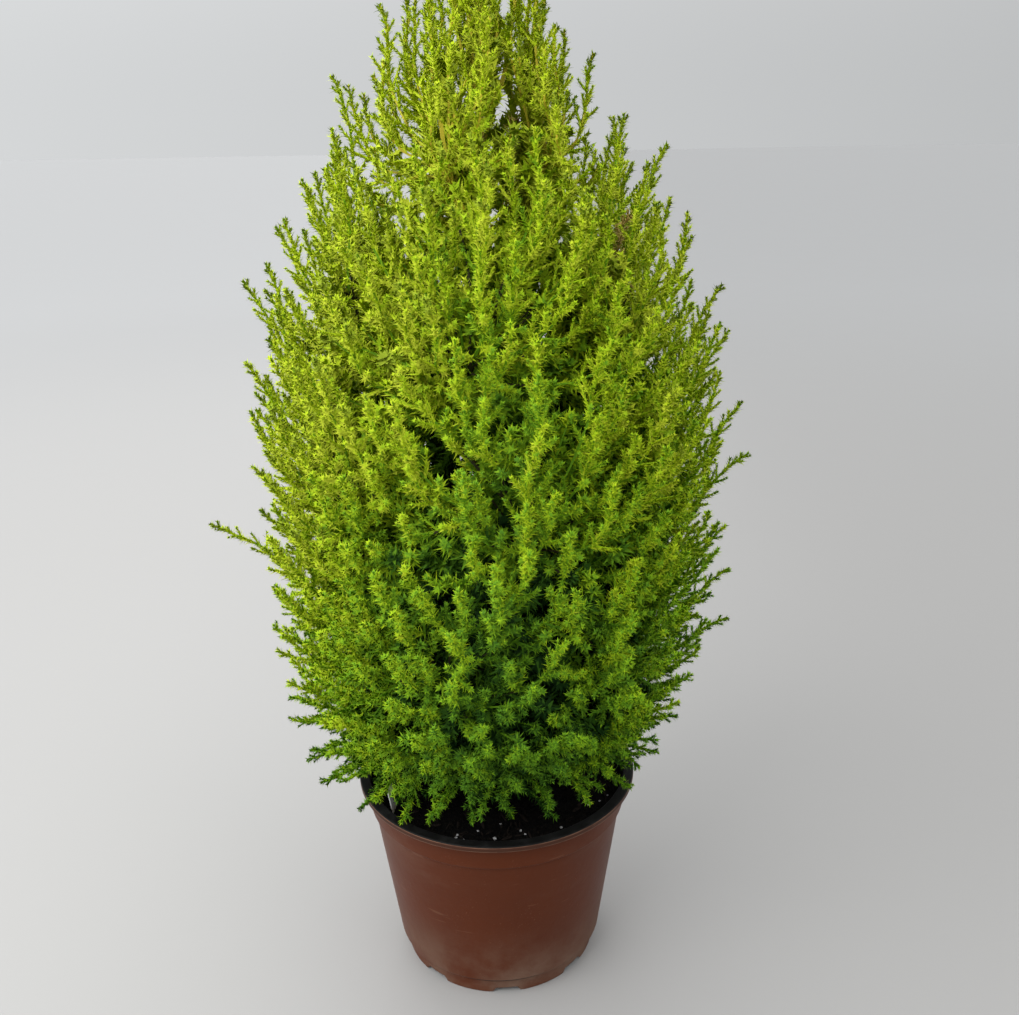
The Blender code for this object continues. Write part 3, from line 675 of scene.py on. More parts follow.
def grow_limb(bm, middles, radii, sides, seed):
    """Adds one closed limb to the bmesh: a ring extruded from point to point, with strips of bark."""
    frame_x = Vector((1, 0, 0))
    rings = []
    for index, middle in enumerate(middles):
        ahead = middles[min(index + 1, len(middles) - 1)] - middles[max(index - 1, 0)]
        ahead.normalize()
        frame_x = (frame_x - ahead * frame_x.dot(ahead)).normalized()
        frame_y = ahead.cross(frame_x)
        ring = []
        for side in range(sides):
            angle = side * 2 * math.pi / sides
            across, up = math.cos(angle), math.sin(angle)
            around = frame_x * across + frame_y * up
            strip_place = (STRIPS_ROUND * across, STRIPS_ROUND * up, middle.z * STRIPS_A_METRE + seed)
            knots = noise.noise(middle * KNOTS_A_METRE + around * KNOTS_ROUND)
            rough = noise.noise(Vector(strip_place)) + KNOT_SHARE * knots - RELIEF_SUNK
            ring.append(bm.verts.new(middle + around * radii[index] * (1 + BARK_RELIEF * rough)))
        rings.append(ring)
    for low, high in zip(rings, rings[1:]):
        for side in range(sides):
            after = (side + 1) % sides
            bm.faces.new((low[side], low[after], high[after], high[side]))
    bm.faces.new(rings[0][::-1])
    bm.faces.new(rings[-1])


bm = bmesh.new()
heights = [blend(TRUNK_FOOT, TRUNK_TOP, share**RING_CROWDING) for share in even_shares(TRUNK_RINGS)]
middles, radii = [trunk_axis(height) for height in heights], [trunk_radius(height) for height in heights]
grow_limb(bm, middles, radii, TRUNK_SIDES, 0)
bark_finish, shader, place = finish_named("peeling_bark", 0.85, 0.25)
strips = place.noise(420.0, 5.0, 0.65, (1, 1, 0.12))
flakes = place.noise(90.0, 4.0, 0.6, (1, 1, 0.35))
height = place.axis("Z")
old = strips.step(0.35, 0.62).mix(BARK_DARK, BARK_RED)
flaking = (flakes.step(0.55, 0.75) * 0.6).mix(old, BARK_GREY)
feed(
    shader,
    Base_Color=height.step(*YOUNG_BARK).mix(flaking, BARK_YOUNG),
    Roughness=0.75 + strips * 0.2,
    Normal=(strips + flakes * 0.5).bump(0.7, 0.0008),
)
add_piece("trunk_bark", bm, "bark", bark_finish, replaced=("trunk",))


# Crown plan
# Every shoot of the crown leaves the trunk low down, runs outwards and sweeps up to the crown's outline.
# A place in the crown is an azimuth, a level and how far along the path of that level it lies.
CROWN_OUTLINE = (  # level, radius, height
    (0.00, 0.122, 0.150),
    (0.10, 0.134, 0.204),
    (0.20, 0.150, 0.262),
    (0.30, 0.154, 0.325),
    (0.40, 0.154, 0.388),
    (0.50, 0.150, 0.450),
    (0.60, 0.140, 0.507),
    (0.70, 0.114, 0.556),
    (0.80, 0.080, 0.602),
    (0.90, 0.048, 0.648),
    (1.00, 0.024, 0.680),
    (1.20, 0.000, 0.700),
)
LAUNCH_LOW = 0.168
LAUNCH_RISE = 0.392
LAUNCH_POWER = 1.6
SKIRT_TOP_LEVEL = 0.22
DROOP = math.radians(14)
UPSWEEP = math.radians(24)
HANDLE_SHARE = 0.38
LEVEL_SCALE = 0.6
SKIRT_SHIFT = 0.011
SKIRT_FRONT_CUT = 0.24
TIERS = ("skirt", "lower", "middle", "upper", "crown")
TIER_LEVELS = (0.0, 0.2, 0.4, 0.6, 0.8, 1.0)
SECTORS = (6, 5, 5, 4, 3)
TIER_TURNS = (30, 34, 69, 82, 0)
PLUMES = (10, 12, 12, 13, 9)
GOLDEN_ANGLE = math.radians(137.5)
EDGE_SHARE = 0.90
EVEN_STEPS = (0.7548776662, 0.5698402910)
LENGTH_JITTER = 0.035
LONG_SHOOTS = (  # azimuth in degrees, level, extra reach
    (181, 0.290, 0.040),
    (2, 0.365, 0.024),
    (-8, 0.440, 0.014),
    (178, 0.570, 0.014),
    (186, 0.080, 0.010),
    (8, 0.720, 0.014),
    (170, 0.795, 0.022),
    (188, 0.885, 0.016),
    (-6, 0.205, 0.010),
    (-12, 0.960, 0.014),
    (92, 0.330, 0.020),
    (-88, 0.345, 0.018),
    (60, 0.560, 0.020),
    (250, 0.500, 0.014),
)
BOUGH_START_RADIUS = 0.0024
BOUGH_TIP_RADIUS = 0.0017
BOUGH_END = 0.27
STAGGER = 0.30
FORK = 0.40
FANNED_OUT = 0.86
LIMB_GAP = 0.0003
FACETED = 0.93


def smooth(share):
    share = min(1.0, max(0.0, share))
    return share * share * (3 - 2 * share)


def ramp(value, low, high):
    """0 below low and 1 above high, with a soft rise between them."""
    return smooth((value - low) / (high - low))


def tip_of(level):
    """Radius and height of the crown's outline at a level."""
    for low, high in zip(CROWN_OUTLINE, CROWN_OUTLINE[1:]):
        if level <= high[0]:
            break
    share = (level - low[0]) / (high[0] - low[0])
    return Vector((blend(low[1], high[1], share), blend(low[2], high[2], share)))


def launch_of(level):
    """Radius and height of the place on the trunk's axis where the path of a level starts."""
    height = LAUNCH_LOW + LAUNCH_RISE * max(level, 0) ** LAUNCH_POWER
    return Vector((0.0, min(height, TRUNK_TOP)))


def crown_point(azimuth, level, along):
    """A place in the crown. Past the end of its path the place leans out, the way the chord runs."""
    root, tip = launch_of(level), tip_of(level)
    chord = tip - root
    slope = math.atan2(chord.y, chord.x)
    bend = blend(-DROOP, UPSWEEP, smooth(level / SKIRT_TOP_LEVEL))
    start, end = slope - bend, min(slope + bend, math.pi / 2)
    reach = HANDLE_SHARE * chord.length
    handle = root + reach * Vector((math.cos(start), math.sin(start)))
    last = tip - reach * Vector((math.cos(end), math.sin(end)))
    share = min(along, 1.0)
    rest = 1 - share
    flat = rest**3 * root + 3 * rest**2 * share * handle + 3 * rest * share**2 * last + share**3 * tip
    if along > 1:
        flat += chord * (along - 1)
    skirt = 1 - smooth(level / SKIRT_TOP_LEVEL)
    radius = flat.x * (1 - SKIRT_FRONT_CUT * skirt * max(0.0, -math.sin(azimuth)) ** 2)
    shift = SKIRT_SHIFT * skirt * along
    return Vector((radius * math.cos(azimuth) - shift, radius * math.sin(azimuth), flat.y))


def nearest_shoot(shoots, azimuth, level):
    """The one of the planned shoots whose tip is nearest to this azimuth and level."""
    radius = tip_of(level).x

    def away(shoot):
        return math.hypot((shoot[0] - azimuth) * radius, (shoot[1] - level) * LEVEL_SCALE)

    return min(shoots, key=away)


class Mass:
    """One mass of foliage: its range of azimuth and level."""

    def __init__(self, name, azimuth, half_angle, low, high, count, lift):
        self.name = name
        self.azimuth = azimuth
        self.half_angle = half_angle
        self.low = low
        self.high = high
        self.middle = blend(low, high, 0.5)
        self.count = count
        self.lift = lift

    def plan(self, total, wider):
        """Azimuth, level and end of each shoot. The first ones are the mass's own plumes."""
        rng = random.Random(self.name)
        across, up = rng.random(), rng.random()
        shoots = []
        for index in range(total):
            column = (across + index * EVEN_STEPS[0]) % 1 * 2 - 1
            row = (up + index * EVEN_STEPS[1]) % 1 * 2 - 1
            spread = EDGE_SHARE if index < self.count else wider
            azimuth = self.azimuth + spread * column * self.half_angle
            level = self.middle + spread * row * (self.high - self.low) / 2
            shoots.append([azimuth, level, 1 + rng.uniform(-LENGTH_JITTER, LENGTH_JITTER)])
            if index == self.count - 1:
                self.stretch_long_shoots(shoots)
        return shoots

    def stretch_long_shoots(self, shoots):
        """Moves the nearest shoot to each long one that belongs to this mass, and lengthens it."""
        for degrees, level, extra in LONG_SHOOTS:
            away = math.remainder(math.radians(degrees) - self.azimuth, 2 * math.pi)
            if abs(away) > self.half_angle or not self.low < level <= self.high:
                continue
            share = max(-EDGE_SHARE, min(EDGE_SHARE, away / self.half_angle))
            azimuth = self.azimuth + share * self.half_angle
            length = (tip_of(level) - launch_of(level)).length
            nearest_shoot(shoots, azimuth, level)[:] = [azimuth, level, 1 + extra / length]

    def stem_point(self, along):
        stagger = self.lift * (self.high - self.low) * max(0.0, 1 - along / BOUGH_END) ** 2
        return crown_point(self.azimuth, self.middle + stagger, along)

    def shoot_point(self, azimuth, level, along):
        """A place on a shoot, which fans out from the mass's stem to its own tip."""
        share = ramp(along, FORK, FANNED_OUT)
        return crown_point(blend(self.azimuth, azimuth, share), blend(self.middle, level, share), along)


masses = []
for tier, tier_name in enumerate(TIERS):
    for sector in range(SECTORS[tier]):
        name = f"{tier_name}_foliage_{sector + 1}"
        azimuth = math.radians(TIER_TURNS[tier] + sector * 360 / SECTORS[tier])
        low, high = TIER_LEVELS[tier : tier + 2]
        lift = STAGGER * (-1) ** sector
        masses.append(Mass(name, azimuth, math.pi / SECTORS[tier], low, high, PLUMES[tier], lift))


# Boughs
# The thin woody side branches leave the trunk at a steep angle and carry a mass of foliage each. They
# wear the same peeling bark as the trunk. Inside the masses they run on as the stems of the shoots.
BOUGH_SIDES = 12
BOUGH_RINGS = 22
# Shares of a path: where the search for a bough's start begins, its steps, and how far both ends run on
BOUGH_FIRST, BOUGH_LOOK = 0.01, 0.0002
BOUGH_ROOT, BOUGH_OVERRUN = 0.004, 0.02


def limb_start(mass, radius):
    """How far along its path a limb stands clear of the trunk's bark."""
    along = BOUGH_FIRST
    while along < BOUGH_END:
        place = mass.stem_point(along)
        ahead = (mass.stem_point(along + BOUGH_FIRST) - place).normalized()
        away = (place.xy - trunk_axis(place.z).xy).length
        if away > FACETED * (trunk_radius(place.z) + radius * abs(ahead.z)) + LIMB_GAP:
            return along
        along += BOUGH_LOOK
    return along


bm = bmesh.new()
replaced = []
for number, mass in enumerate(masses):
    name = mass.name.replace("foliage", "bough")
    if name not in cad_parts:
        continue
    start = limb_start(mass, BOUGH_START_RADIUS) - BOUGH_ROOT
    shares = even_shares(BOUGH_RINGS)
    middles = [mass.stem_point(blend(start, BOUGH_END + BOUGH_OVERRUN, share)) for share in shares]
    radii = [blend(BOUGH_START_RADIUS, BOUGH_TIP_RADIUS, share) for share in shares]
    grow_limb(bm, middles, radii, BOUGH_SIDES, number)
    replaced.append(name)
add_piece("boughs_bark", bm, "bark", bark_finish, replaced=replaced)


# Foliage
# Soft awl-shaped needles stand out all round thin green twigs. The twigs line upright shoots, which are
# woody and brown inside the crown. Sun turns the outer ones lemon yellow with olive tips, and shade
# leaves the inner ones deep green. Their colours also hold painted light and shade: lighter high up and
# to the left, where the lamps light the crown, and darker deep inside, where shade falls.
SHOOTS_A_MASS = (30, 38, 37, 36, 15)
# The last column is painted shade: the hidden shoots' needles are dealt darker greens
HIDDEN_SHOOTS = (  # how many in a mass of each tier, where they fork and end, needle gain, shade
    ((28, 32, 28, 24, 8), (0.28, 0.42), (0.52, 0.82), 1.0, 0.14),
    ((50, 86, 82, 60, 20), (0.06, 0.25), (0.22, 0.74), 2.3, 0.48),
)
SHOOT_POINTS = 9
PLUME_FORK = 0.42
FINE_FORK = (0.40, 0.62)
FINE_FANNED_OUT = 0.84
FINE_END = (0.80, 0.975)
SKIRT_FINE_END = (0.90, 1.0)
FINE_EDGE_SHARE = 1.04
STEM_END = 0.66
SHOOT_WOBBLE = 0.0026
WOBBLE_RATES = (7, 17, 7, 17)
STEM_RADII = (0.0017, 0.0009)
SHOOT_RADII = (0.0010, 0.0005)
TWIG_RADIUS = 0.0011
TWIG_START = 0.0045
TWIG_REACH = 0.078
TWIG_SPACING = (0.0026, 0.0076)
TWIG_LENGTH = (0.0045, 0.0205)
TWIG_LENGTH_REACH = 0.068
TWIG_TILT = (math.radians(40), math.radians(48))
TWIG_JITTER = {"turn": (-0.3, 0.3), "tilt": (-0.12, 0.12), "length": (0.7, 1.15), "spacing": (0.8, 1.2)}
TWIG_DEPTH = 0.9
BARE_FOOT = 0.03
TWIG_RISE = 0.25
UPWARD_GROWTH = 0.42
UPWARD_FROM = (0.20, 0.34)
AXIS_MARKS = (0.048, 0.032, 0.019, 0.009, 0.0)
WHORL_SPACING = 0.00155
WHORL_TURN = math.pi / 4
LEAST_WHORLS = 3
NEEDLES_A_WHORL = 6
NEEDLE_LENGTH = 0.0046
NEEDLE_WIDTH = 0.00084
NEEDLE_TILT = (math.radians(64), math.radians(44))
BROAD_LENGTH = 0.68
LENGTH_GAIN_POWER = 0.65
BROAD_WIDTH = 1.6
BROAD_TILT = math.radians(40)
NEEDLE_JITTER = {
    "place": (-0.3, 0.3),
    "turn": (-0.25, 0.25),
    "tilt": (-0.14, 0.14),
    "length": (0.8, 1.15),
    "width": (0.85, 1.15),
}
NEEDLE_SIZES = (0.88, 1.05)
END_LENGTH_LOSS = 0.5
END_WIDTH_GAIN = 0.5
FACE_TWIG = 0.46
FACE_CROWN = 0.95
FACE_UP = 2.5
FACE_LEVEL = 0.23
FACE_FLAT = 0.27
AXIS_NEEDLE_GAIN = 0.25
INNER_NEEDLE_GAIN = 0.75
INNER_NEEDLE_ZONE = (0.030, 0.078)
# Greens from light to dark, dealt out by the painted light and shade as well as the needles' own tone.
# The near-black last green is painted shade for the crown's dark inside.
FINISH_COLOURS = (
    ("lemon_bright", (0.505, 0.590, 0.032)),
    ("lemon", (0.412, 0.545, 0.014)),
    ("fresh_green", (0.308, 0.470, 0.011)),
    ("leaf_green", (0.202, 0.368, 0.011)),
    ("middle_green", (0.130, 0.282, 0.012)),
    ("deep_green", (0.077, 0.190, 0.011)),
    ("shade_green", (0.034, 0.098, 0.008)),
    ("inside_green", (0.009, 0.034, 0.004)),
    ("tan", (0.420, 0.320, 0.090)),
    ("tip_olive", (0.290, 0.380, 0.022)),
)
DEAD_SHOOT_HEIGHT = 0.52
DEAD_SHOOT_SHARE = 0.014
LEMON, FRESH_GREEN, YOUNG_GREEN = 1, 2, 4
TAN = len(FINISH_COLOURS) - 2
TIP = TAN + 1
TIP_REACH = 0.009
TIP_LIGHT = 0.80
TIP_SHARE = 0.6
COLOUR_LIMITS = (0.80, 0.62, 0.46, 0.32, 0.18, 0.05, -0.08)
COLOUR_SPREAD, SHOOT_SPREAD = 0.065, 0.07
BRIGHTER_SHARE = 0.2
YELLOW_END = 0.74
# Painted light and shade in the needle colours: lighter high up, to the left and on a shoot's own outer
# needles, and darker deep inside, except where much light falls, where the inner ones are painted
# lighter
PAINTED_LIGHT_FOOT, PAINTED_LIGHT_RISE, PAINTED_LIGHT_TOP = 0.05, 0.90, 0.12
PAINTED_LIGHT_LEFT, PAINTED_LIGHT_RIGHT = 3.2, 1.6  # light gained with each metre to that side
AXIS_LIGHT = 0.05
LIT_DEPTH = 0.03
DEPTH_PAINTED_SHADE = 4.2
SHADE_START, SHADE_FADE, SHADE_LIMITS = 1.9, 2.25, (-0.35, 1.0)
STEM_COLOURS = (
    ("golden_stem", (0.480, 0.400, 0.030)),
    ("woody_stem", (0.036, 0.034, 0.012)),
)
GOLDEN, WOODY = TIP + 1, TIP + 2
WOODY_SHARE = 0.25
GOLDEN_TIERS = ("crown", "leader")
PARTING = 0.008
PARTING_PLACE = 0.010
PARTING_REACH = 0.035
PARTING_HEIGHT = (0.642, 0.682)

needle_finishes = [
    finish_named(f"{name}_needles", 0.55, 0.06, colour)[0] for name, colour in FINISH_COLOURS
]
stem_finishes = [finish_named(name, 0.6, 0.2, colour)[0] for name, colour in STEM_COLOURS]


def unit(vectors):
    return vectors / np.maximum(np.linalg.norm(vectors, axis=-1, keepdims=True), 1e-9)


def across_to(directions):
    """Two unit vectors square to each direction."""
    helper = np.where(np.abs(directions[:, 2:3]) < 0.9, (0.0, 0.0, 1.0), (1.0, 0.0, 0.0))
    first = unit(np.cross(directions, helper))
    return first, np.cross(directions, first)


def bent(spines, shares):
    """Places and directions on spines, each a start, a handle and an end, at the given shares."""
    start, handle, end = spines[:, 0], spines[:, 1], spines[:, 2]
    share = shares[:, None]
    places = (1 - share) ** 2 * start + 2 * share * (1 - share) * handle + share**2 * end
    ahead = (1 - share) * (handle - start) + share * (end - handle)
    return places, unit(ahead)


def needles_on(spines, sizes, colours, rng):
    """Whorls of pointed needles along each spine, as one chunk, and the way that its corners face."""
    lengths = np.linalg.norm(spines[:, 1] - spines[:, 0], axis=1)
    lengths += np.linalg.norm(spines[:, 2] - spines[:, 1], axis=1)
    whorls = np.maximum(LEAST_WHORLS, (lengths / (WHORL_SPACING * sizes)).astype(int))
    counts = whorls * NEEDLES_A_WHORL
    owner = np.repeat(np.arange(len(spines)), counts)
    order = np.arange(len(owner)) - np.repeat(np.cumsum(counts) - counts, counts)
    whorl, member = order // NEEDLES_A_WHORL, order % NEEDLES_A_WHORL

    def jitter(kind):
        return rng.uniform(*NEEDLE_JITTER[kind], len(owner))

    shares = ((whorl + 0.5 + jitter("place")) / whorls[owner]).clip(0, 1)
    base, ahead = bent(spines[owner], shares)
    first, second = across_to(ahead)
    turn = rng.uniform(0, 2 * math.pi, len(spines))[owner] + whorl * WHORL_TURN
    turn += member * 2 * math.pi / NEEDLES_A_WHORL + jitter("turn")
    out = first * np.cos(turn)[:, None] + second * np.sin(turn)[:, None]
    broad = member % 2 == 0
    tilt = blend(*NEEDLE_TILT, shares**2)
    tilt = np.where(broad, BROAD_TILT, tilt) + jitter("tilt")
    along = unit(ahead * np.cos(tilt)[:, None] + out * np.sin(tilt)[:, None])
    side = unit(np.cross(along, ahead))
    length = NEEDLE_LENGTH * (1 - END_LENGTH_LOSS * shares**3) * np.where(broad, BROAD_LENGTH, 1.0)
    length *= sizes[owner] ** LENGTH_GAIN_POWER * jitter("length")
    width = NEEDLE_WIDTH / 2 * np.where(broad, BROAD_WIDTH, 1.0) * (1 + END_WIDTH_GAIN * shares**3)
    width *= sizes[owner] * jitter("width")
    left, right = base + side * width[:, None], base - side * width[:, None]
    corners = np.stack([left, right, base + along * length[:, None]], axis=1).reshape(-1, 3)
    triangles = np.arange(len(corners)).reshape(-1, 3)
    # Each needle is lit as a round one that faces out of its twig and out of the crown
    away = unit(base * (1, 1, 0))
    away[:, 2] = FACE_UP * (base[:, 2] - FACE_LEVEL)
    facing = unit(FACE_TWIG * (out + ahead) + FACE_CROWN * away)
    flat = np.cross(along, side)
    flat *= np.where((flat * facing).sum(axis=1) < 0, -1.0, 1.0)[:, None]
    facing = np.repeat(unit(facing + FACE_FLAT * flat), 3, axis=0)
    swapped = (np.cross(right - left, along) * flat).sum(axis=1) < 0
    triangles[swapped] = triangles[swapped][:, ::-1]
    # The broad needles of a green twig, lying close in under the slender ones, are painted a shade
    # darker as painted shade, and those at the end of a yellow one are darker too
    own = colours[owner]
    darker = (broad & (own > LEMON)).astype(int) + ((shares > YELLOW_END) & (own <= FRESH_GREEN))
    change = darker - (rng.random(len(owner)) < BRIGHTER_SHARE)
    worn = np.where(own >= TAN, own, (own + change).clip(0, TAN - 1))
    return (corners, triangles, worn), facing


def three_ways(directions):
    """Three lots of unit vectors, a third of a turn apart, square to each direction."""
    first, second = across_to(directions)
    angles = [side * 2 * math.pi / 3 for side in range(3)]
    return [first * math.cos(angle) + second * math.sin(angle) for angle in angles]


def tubes_on(paths, radii, colours):
    """Three-sided stems along paths of equally many points, as one chunk of a piece."""
    count, steps, _ = paths.shape
    ways = three_ways(unit(np.gradient(paths, axis=1)).reshape(-1, 3))
    rings = [paths + way.reshape(count, steps, 3) * radii[..., None] for way in ways]
    corners = np.stack(rings, axis=2).reshape(-1, 3)
    starts = (np.arange(count)[:, None] * steps + np.arange(steps - 1)) * 3
    pattern = []
    for side in range(3):
        after = (side + 1) % 3
        pattern += [(side, after, after + 3), (side, after + 3, side + 3)]
    triangles = starts[..., None, None] + np.array(pattern)
    worn = np.broadcast_to(colours[..., None], triangles.shape[:3])
    return corners, triangles.reshape(-1, 3), worn.reshape(-1)


def thorns_on(spines, radius, colours):
    """A three-sided pointed stem along each spine, as one chunk of a piece."""
    rings = [spines[:, 0] + way * radius for way in three_ways(unit(spines[:, 2] - spines[:, 0]))]
    corners = np.stack(rings + [spines[:, 2]], axis=1).reshape(-1, 3)
    triangles = 4 * np.arange(len(spines))[:, None, None] + ((0, 1, 3), (1, 2, 3), (2, 0, 3))
    return corners, triangles.reshape(-1, 3), np.repeat(colours, 3)


def light_at(place, depth, hidden):
    """How bright the green of a place is, partly the needles' own yellowing in the sun and partly
    painted
    light: brightest high up and to the left, where the lamps light the crown most. Deep inside it is
    darker as painted shade, but where much sun falls the old needles there are painted lighter instead."""
    height = (place.z - CROWN_OUTLINE[0][2]) / (CROWN_OUTLINE[-1][2] - CROWN_OUTLINE[0][2])
    beside = max(-PAINTED_LIGHT_LEFT * place.x, PAINTED_LIGHT_RIGHT * place.x)
    sun = PAINTED_LIGHT_FOOT + height * (PAINTED_LIGHT_RISE + PAINTED_LIGHT_TOP * height) + beside
    deep = hidden + DEPTH_PAINTED_SHADE * max(0, depth - LIT_DEPTH)
    lowest, highest = SHADE_LIMITS
    return sun - deep * min(highest, max(lowest, SHADE_START - SHADE_FADE * sun))


def colour_of(light, depth, rng):
    """Deals out a needle colour by the light, with some spread. Most sunlit tips are olive."""
    if depth < TIP_REACH and light > TIP_LIGHT and rng.random() < TIP_SHARE:
        return TIP
    light += rng.gauss(0, COLOUR_SPREAD)
    return sum(light < limit for limit in COLOUR_LIMITS)


def parted(points):
    """The same points, moved clear of the gap between the plant's two leaders."""
    side = math.copysign(1, points[-1].x - PARTING_PLACE)
    for point in points:
        near = max(0.0, 1 - abs(point.x - PARTING_PLACE) / PARTING_REACH)
        point.x += side * PARTING * near * ramp(point.z, *PARTING_HEIGHT)
    return points


def bent_path(points, rng):
    """The same points with the small bends of a real shoot, from none at its start."""
    phase = [rng.uniform(0, 2 * math.pi) for _ in range(4)]
    for index, point in enumerate(points):
        share = index / (len(points) - 1)
        wobble = SHOOT_WOBBLE * share
        swing = [math.sin(rate * share + begin) for rate, begin in zip(WOBBLE_RATES, phase)]
        point.x += wobble * (swing[0] - math.sin(phase[0]) + 0.5 * swing[1])
        point.y += wobble * (swing[2] - math.sin(phase[2]) + 0.5 * swing[3])
    return parted(points)


shares = even_shares(SHOOT_POINTS)


def outer_paths(mass, plan, ends, rng):
    """The shoots of a mass as lists of points: its own plumes off its stem, and finer ones off those."""
    plumes = plan[: mass.count]
    paths = []
    for index, (azimuth, level, end) in enumerate(plan):
        if index < mass.count:
            places = [blend(PLUME_FORK, end, share) for share in shares]
            paths.append(bent_path([mass.shoot_point(azimuth, level, along) for along in places], rng))
            continue
        end = rng.uniform(*ends)
        parent = nearest_shoot(plumes, azimuth, level)
        fork = rng.uniform(*FINE_FORK)
        points = []
        for share in shares:
            along = blend(fork, end, share)
            leave = ramp(along, fork, FINE_FANNED_OUT)
            beside = mass.shoot_point(parent[0], parent[1], along)
            points.append(beside.lerp(crown_point(azimuth, level, along), leave))
        paths.append(bent_path(points, rng))
    return paths


def inner_paths(mass, plan, forks, ends, rng):
    """Shorter leafy shoots that fill the crown's shaded inside, off the mass's bough and stem."""
    paths = []
    for azimuth, level, _ in plan:
        fork, end = rng.uniform(*forks), rng.uniform(*ends)
        points = []
        for share in shares:
            along = blend(fork, end, share)
            points.append(mass.stem_point(along).lerp(crown_point(azimuth, level, along), smooth(share)))
        paths.append(bent_path(points, rng))
    return paths


def point_back(points, distance):
    """Place and direction on the path at a distance back from its tip."""
    for high, low in zip(points[::-1], points[-2::-1]):
        step = (high - low).length
        if distance <= step:
            return high + (low - high) * (distance / step), (high - low).normalized()
        distance -= step
    return points[0], (points[1] - points[0]).normalized()


def twigs_along(points, rng, gain, shade):
    """The spines that bear a shoot's needles, each with its needle size and colour."""
    total = sum((high - low).length for low, high in zip(points, points[1:]))
    shoot_light = rng.gauss(0, SHOOT_SPREAD)
    dead = points[-1].z > DEAD_SHOOT_HEIGHT and rng.random() < DEAD_SHOOT_SHARE
    # The shoot's own outer part bears needles too
    for far, near in zip(AXIS_MARKS, AXIS_MARKS[1:]):
        low, high = point_back(points, far)[0], point_back(points, near)[0]
        colour = colour_of(light_at(high, near, shade) + shoot_light + AXIS_LIGHT, near, rng)
        yield (low, (low + high) / 2, high), 1 + gain + AXIS_NEEDLE_GAIN, TAN if dead else colour
    turn = rng.uniform(0, 2 * math.pi)
    upward = Vector((0, 0, 1))
    back = TWIG_START
    while back < min(TWIG_REACH, total * (1 - BARE_FOOT)):
        root, ahead = point_back(points, back)
        turn += GOLDEN_ANGLE + rng.uniform(*TWIG_JITTER["turn"])
        side = ahead.orthogonal().normalized()
        side.rotate(Matrix.Rotation(turn, 3, ahead))
        grown = smooth(back / TWIG_LENGTH_REACH)
        tilt = blend(*TWIG_TILT, grown) + rng.uniform(*TWIG_JITTER["tilt"])
        direction = ahead * math.cos(tilt) + side * math.sin(tilt)
        length = blend(*TWIG_LENGTH, grown) * rng.uniform(*TWIG_JITTER["length"])
        handle = root + direction * length * 0.5
        rise = ahead * TWIG_RISE + upward * UPWARD_GROWTH * ramp(root.z, *UPWARD_FROM)
        tip = handle + (direction + rise).normalized() * length * 0.5
        inner = ramp(back, *INNER_NEEDLE_ZONE)
        size = rng.uniform(*NEEDLE_SIZES) * (1 + gain + INNER_NEEDLE_GAIN * inner)
        depth = back * TWIG_DEPTH
        colour = colour_of(light_at(tip, depth, shade) + shoot_light, depth, rng)
        yield (root, handle, tip), size, TAN if dead else colour
        spacing = blend(*TWIG_SPACING, smooth(back / TWIG_REACH)) * (1 + gain)
        back += spacing * rng.uniform(*TWIG_JITTER["spacing"])


def as_array(lines):
    return np.array([[tuple(point) for point in line] for line in lines])


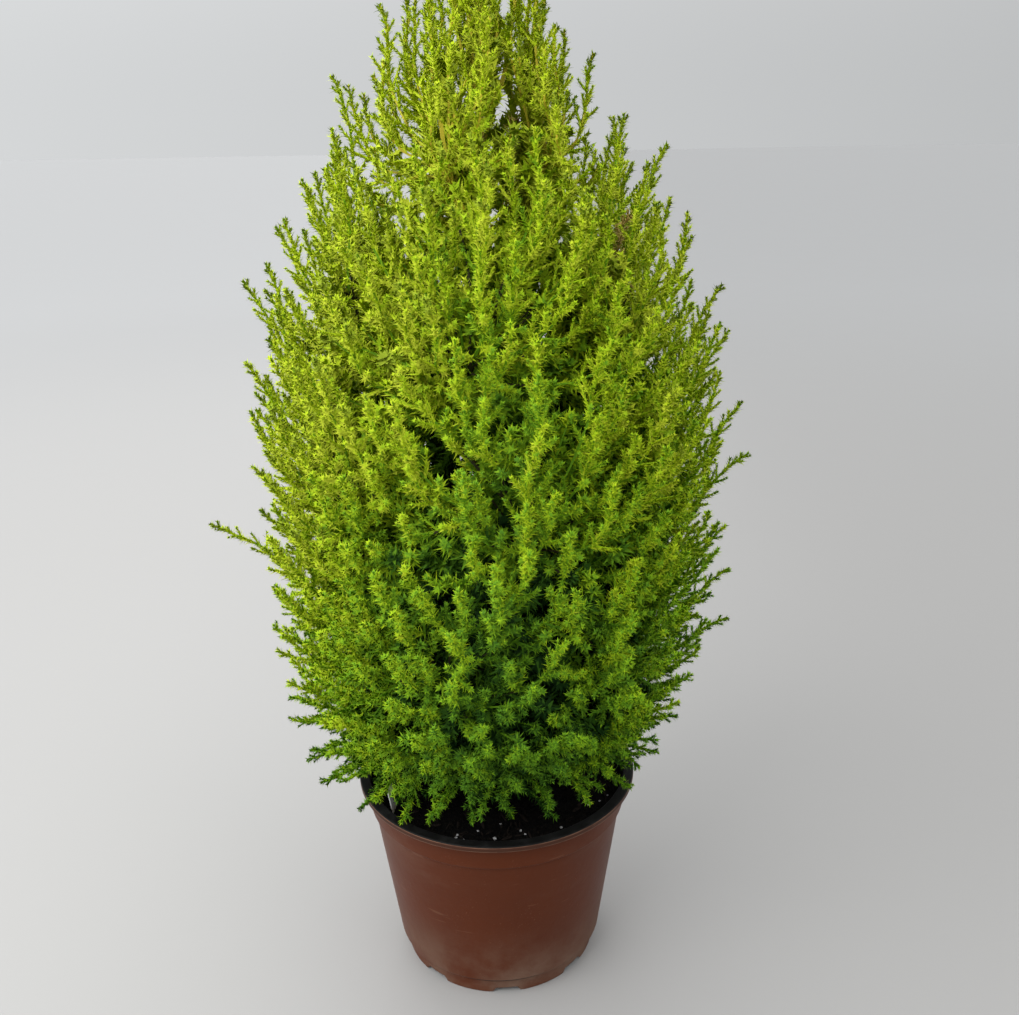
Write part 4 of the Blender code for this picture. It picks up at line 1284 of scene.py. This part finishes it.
def grow_mass(name, kinds, stems, number):
    """Makes the needles and stems of one mass. Each kind is its shoots' paths, needle gain and painted
    shade.
    """
    rng = random.Random(f"{name} twigs")
    twigs = []
    for lines, gain, shade in kinds:
        for line in lines:
            twigs += twigs_along(line, rng, gain, shade)
    spines, sizes, colours = zip(*twigs)
    spines, colours = as_array(spines), np.array(colours)
    chunk, facing = needles_on(spines, np.array(sizes), colours, np.random.default_rng(number))
    joined(name + "_needles", [chunk], needle_finishes, True, (name,), facing)

    chunks = [thorns_on(spines, TWIG_RADIUS, np.where(colours < TAN - 1, colours + 1, colours))]
    golden = name.startswith(GOLDEN_TIERS)
    woody_points, young = (0, GOLDEN) if golden else (WOODY_SHARE * SHOOT_POINTS, YOUNG_GREEN)
    woody = np.where(np.arange(SHOOT_POINTS - 1) < woody_points, WOODY, young)
    # The hidden shoots have every second point only
    limbs = [(lines, SHOOT_RADII, 2 if shade else 1) for lines, _, shade in kinds]
    for lines, radii, skip in limbs + [(stems, STEM_RADII, 1)]:
        tubes = as_array(lines)[:, ::skip]
        thin = np.broadcast_to(np.linspace(*radii, SHOOT_POINTS)[::skip], tubes.shape[:2])
        worn = np.broadcast_to(woody[::skip], (len(tubes), tubes.shape[1] - 1))
        chunks.append(tubes_on(tubes, thin, worn))
    joined(name + "_twigs", chunks, needle_finishes + stem_finishes, replaced=(name,))


for number, mass in enumerate(masses):
    tier = TIERS.index(mass.name.split("_")[0])
    rng = random.Random(f"{mass.name} shoots")
    stem = [mass.stem_point(blend(BOUGH_END - BOUGH_OVERRUN, STEM_END, share)) for share in shares]
    first = SHOOTS_A_MASS[tier]
    plan = mass.plan(first + sum(hidden[0][tier] for hidden in HIDDEN_SHOOTS), FINE_EDGE_SHARE)
    outside = outer_paths(mass, plan[:first], FINE_END if tier else SKIRT_FINE_END, rng)
    kinds = [(outside, 0.0, 0.0)]
    for counts, forks, ends, gain, shade in HIDDEN_SHOOTS:
        last = first + counts[tier]
        kinds.append((inner_paths(mass, plan[first:last], forks, ends, rng), gain, shade))
        first = last
    grow_mass(mass.name, kinds, [stem], number)


# Leader
# The topmost shoots stand close together round the trunk's tip and carry on its line.
LEADER_LEVELS = (1.04, 1.2)
LEADER_SHOOTS = 14
LEADER_ROOT = 0.02
LEADER_SHORTER = 0.006

leader_paths = []
for index in range(LEADER_SHOOTS):
    level = blend(*LEADER_LEVELS, (index + 0.5) / LEADER_SHOOTS)
    places = [blend(LEADER_ROOT, 1 - LEADER_SHORTER * index, share) for share in shares]
    points = [crown_point(index * GOLDEN_ANGLE, level, along) for along in places]
    leader_paths.append(parted([point + Vector((0, 0, LIMB_GAP)) for point in points]))
grow_mass("leader_foliage", [(leader_paths, 0.0, 0.0)], leader_paths[::2], len(masses))
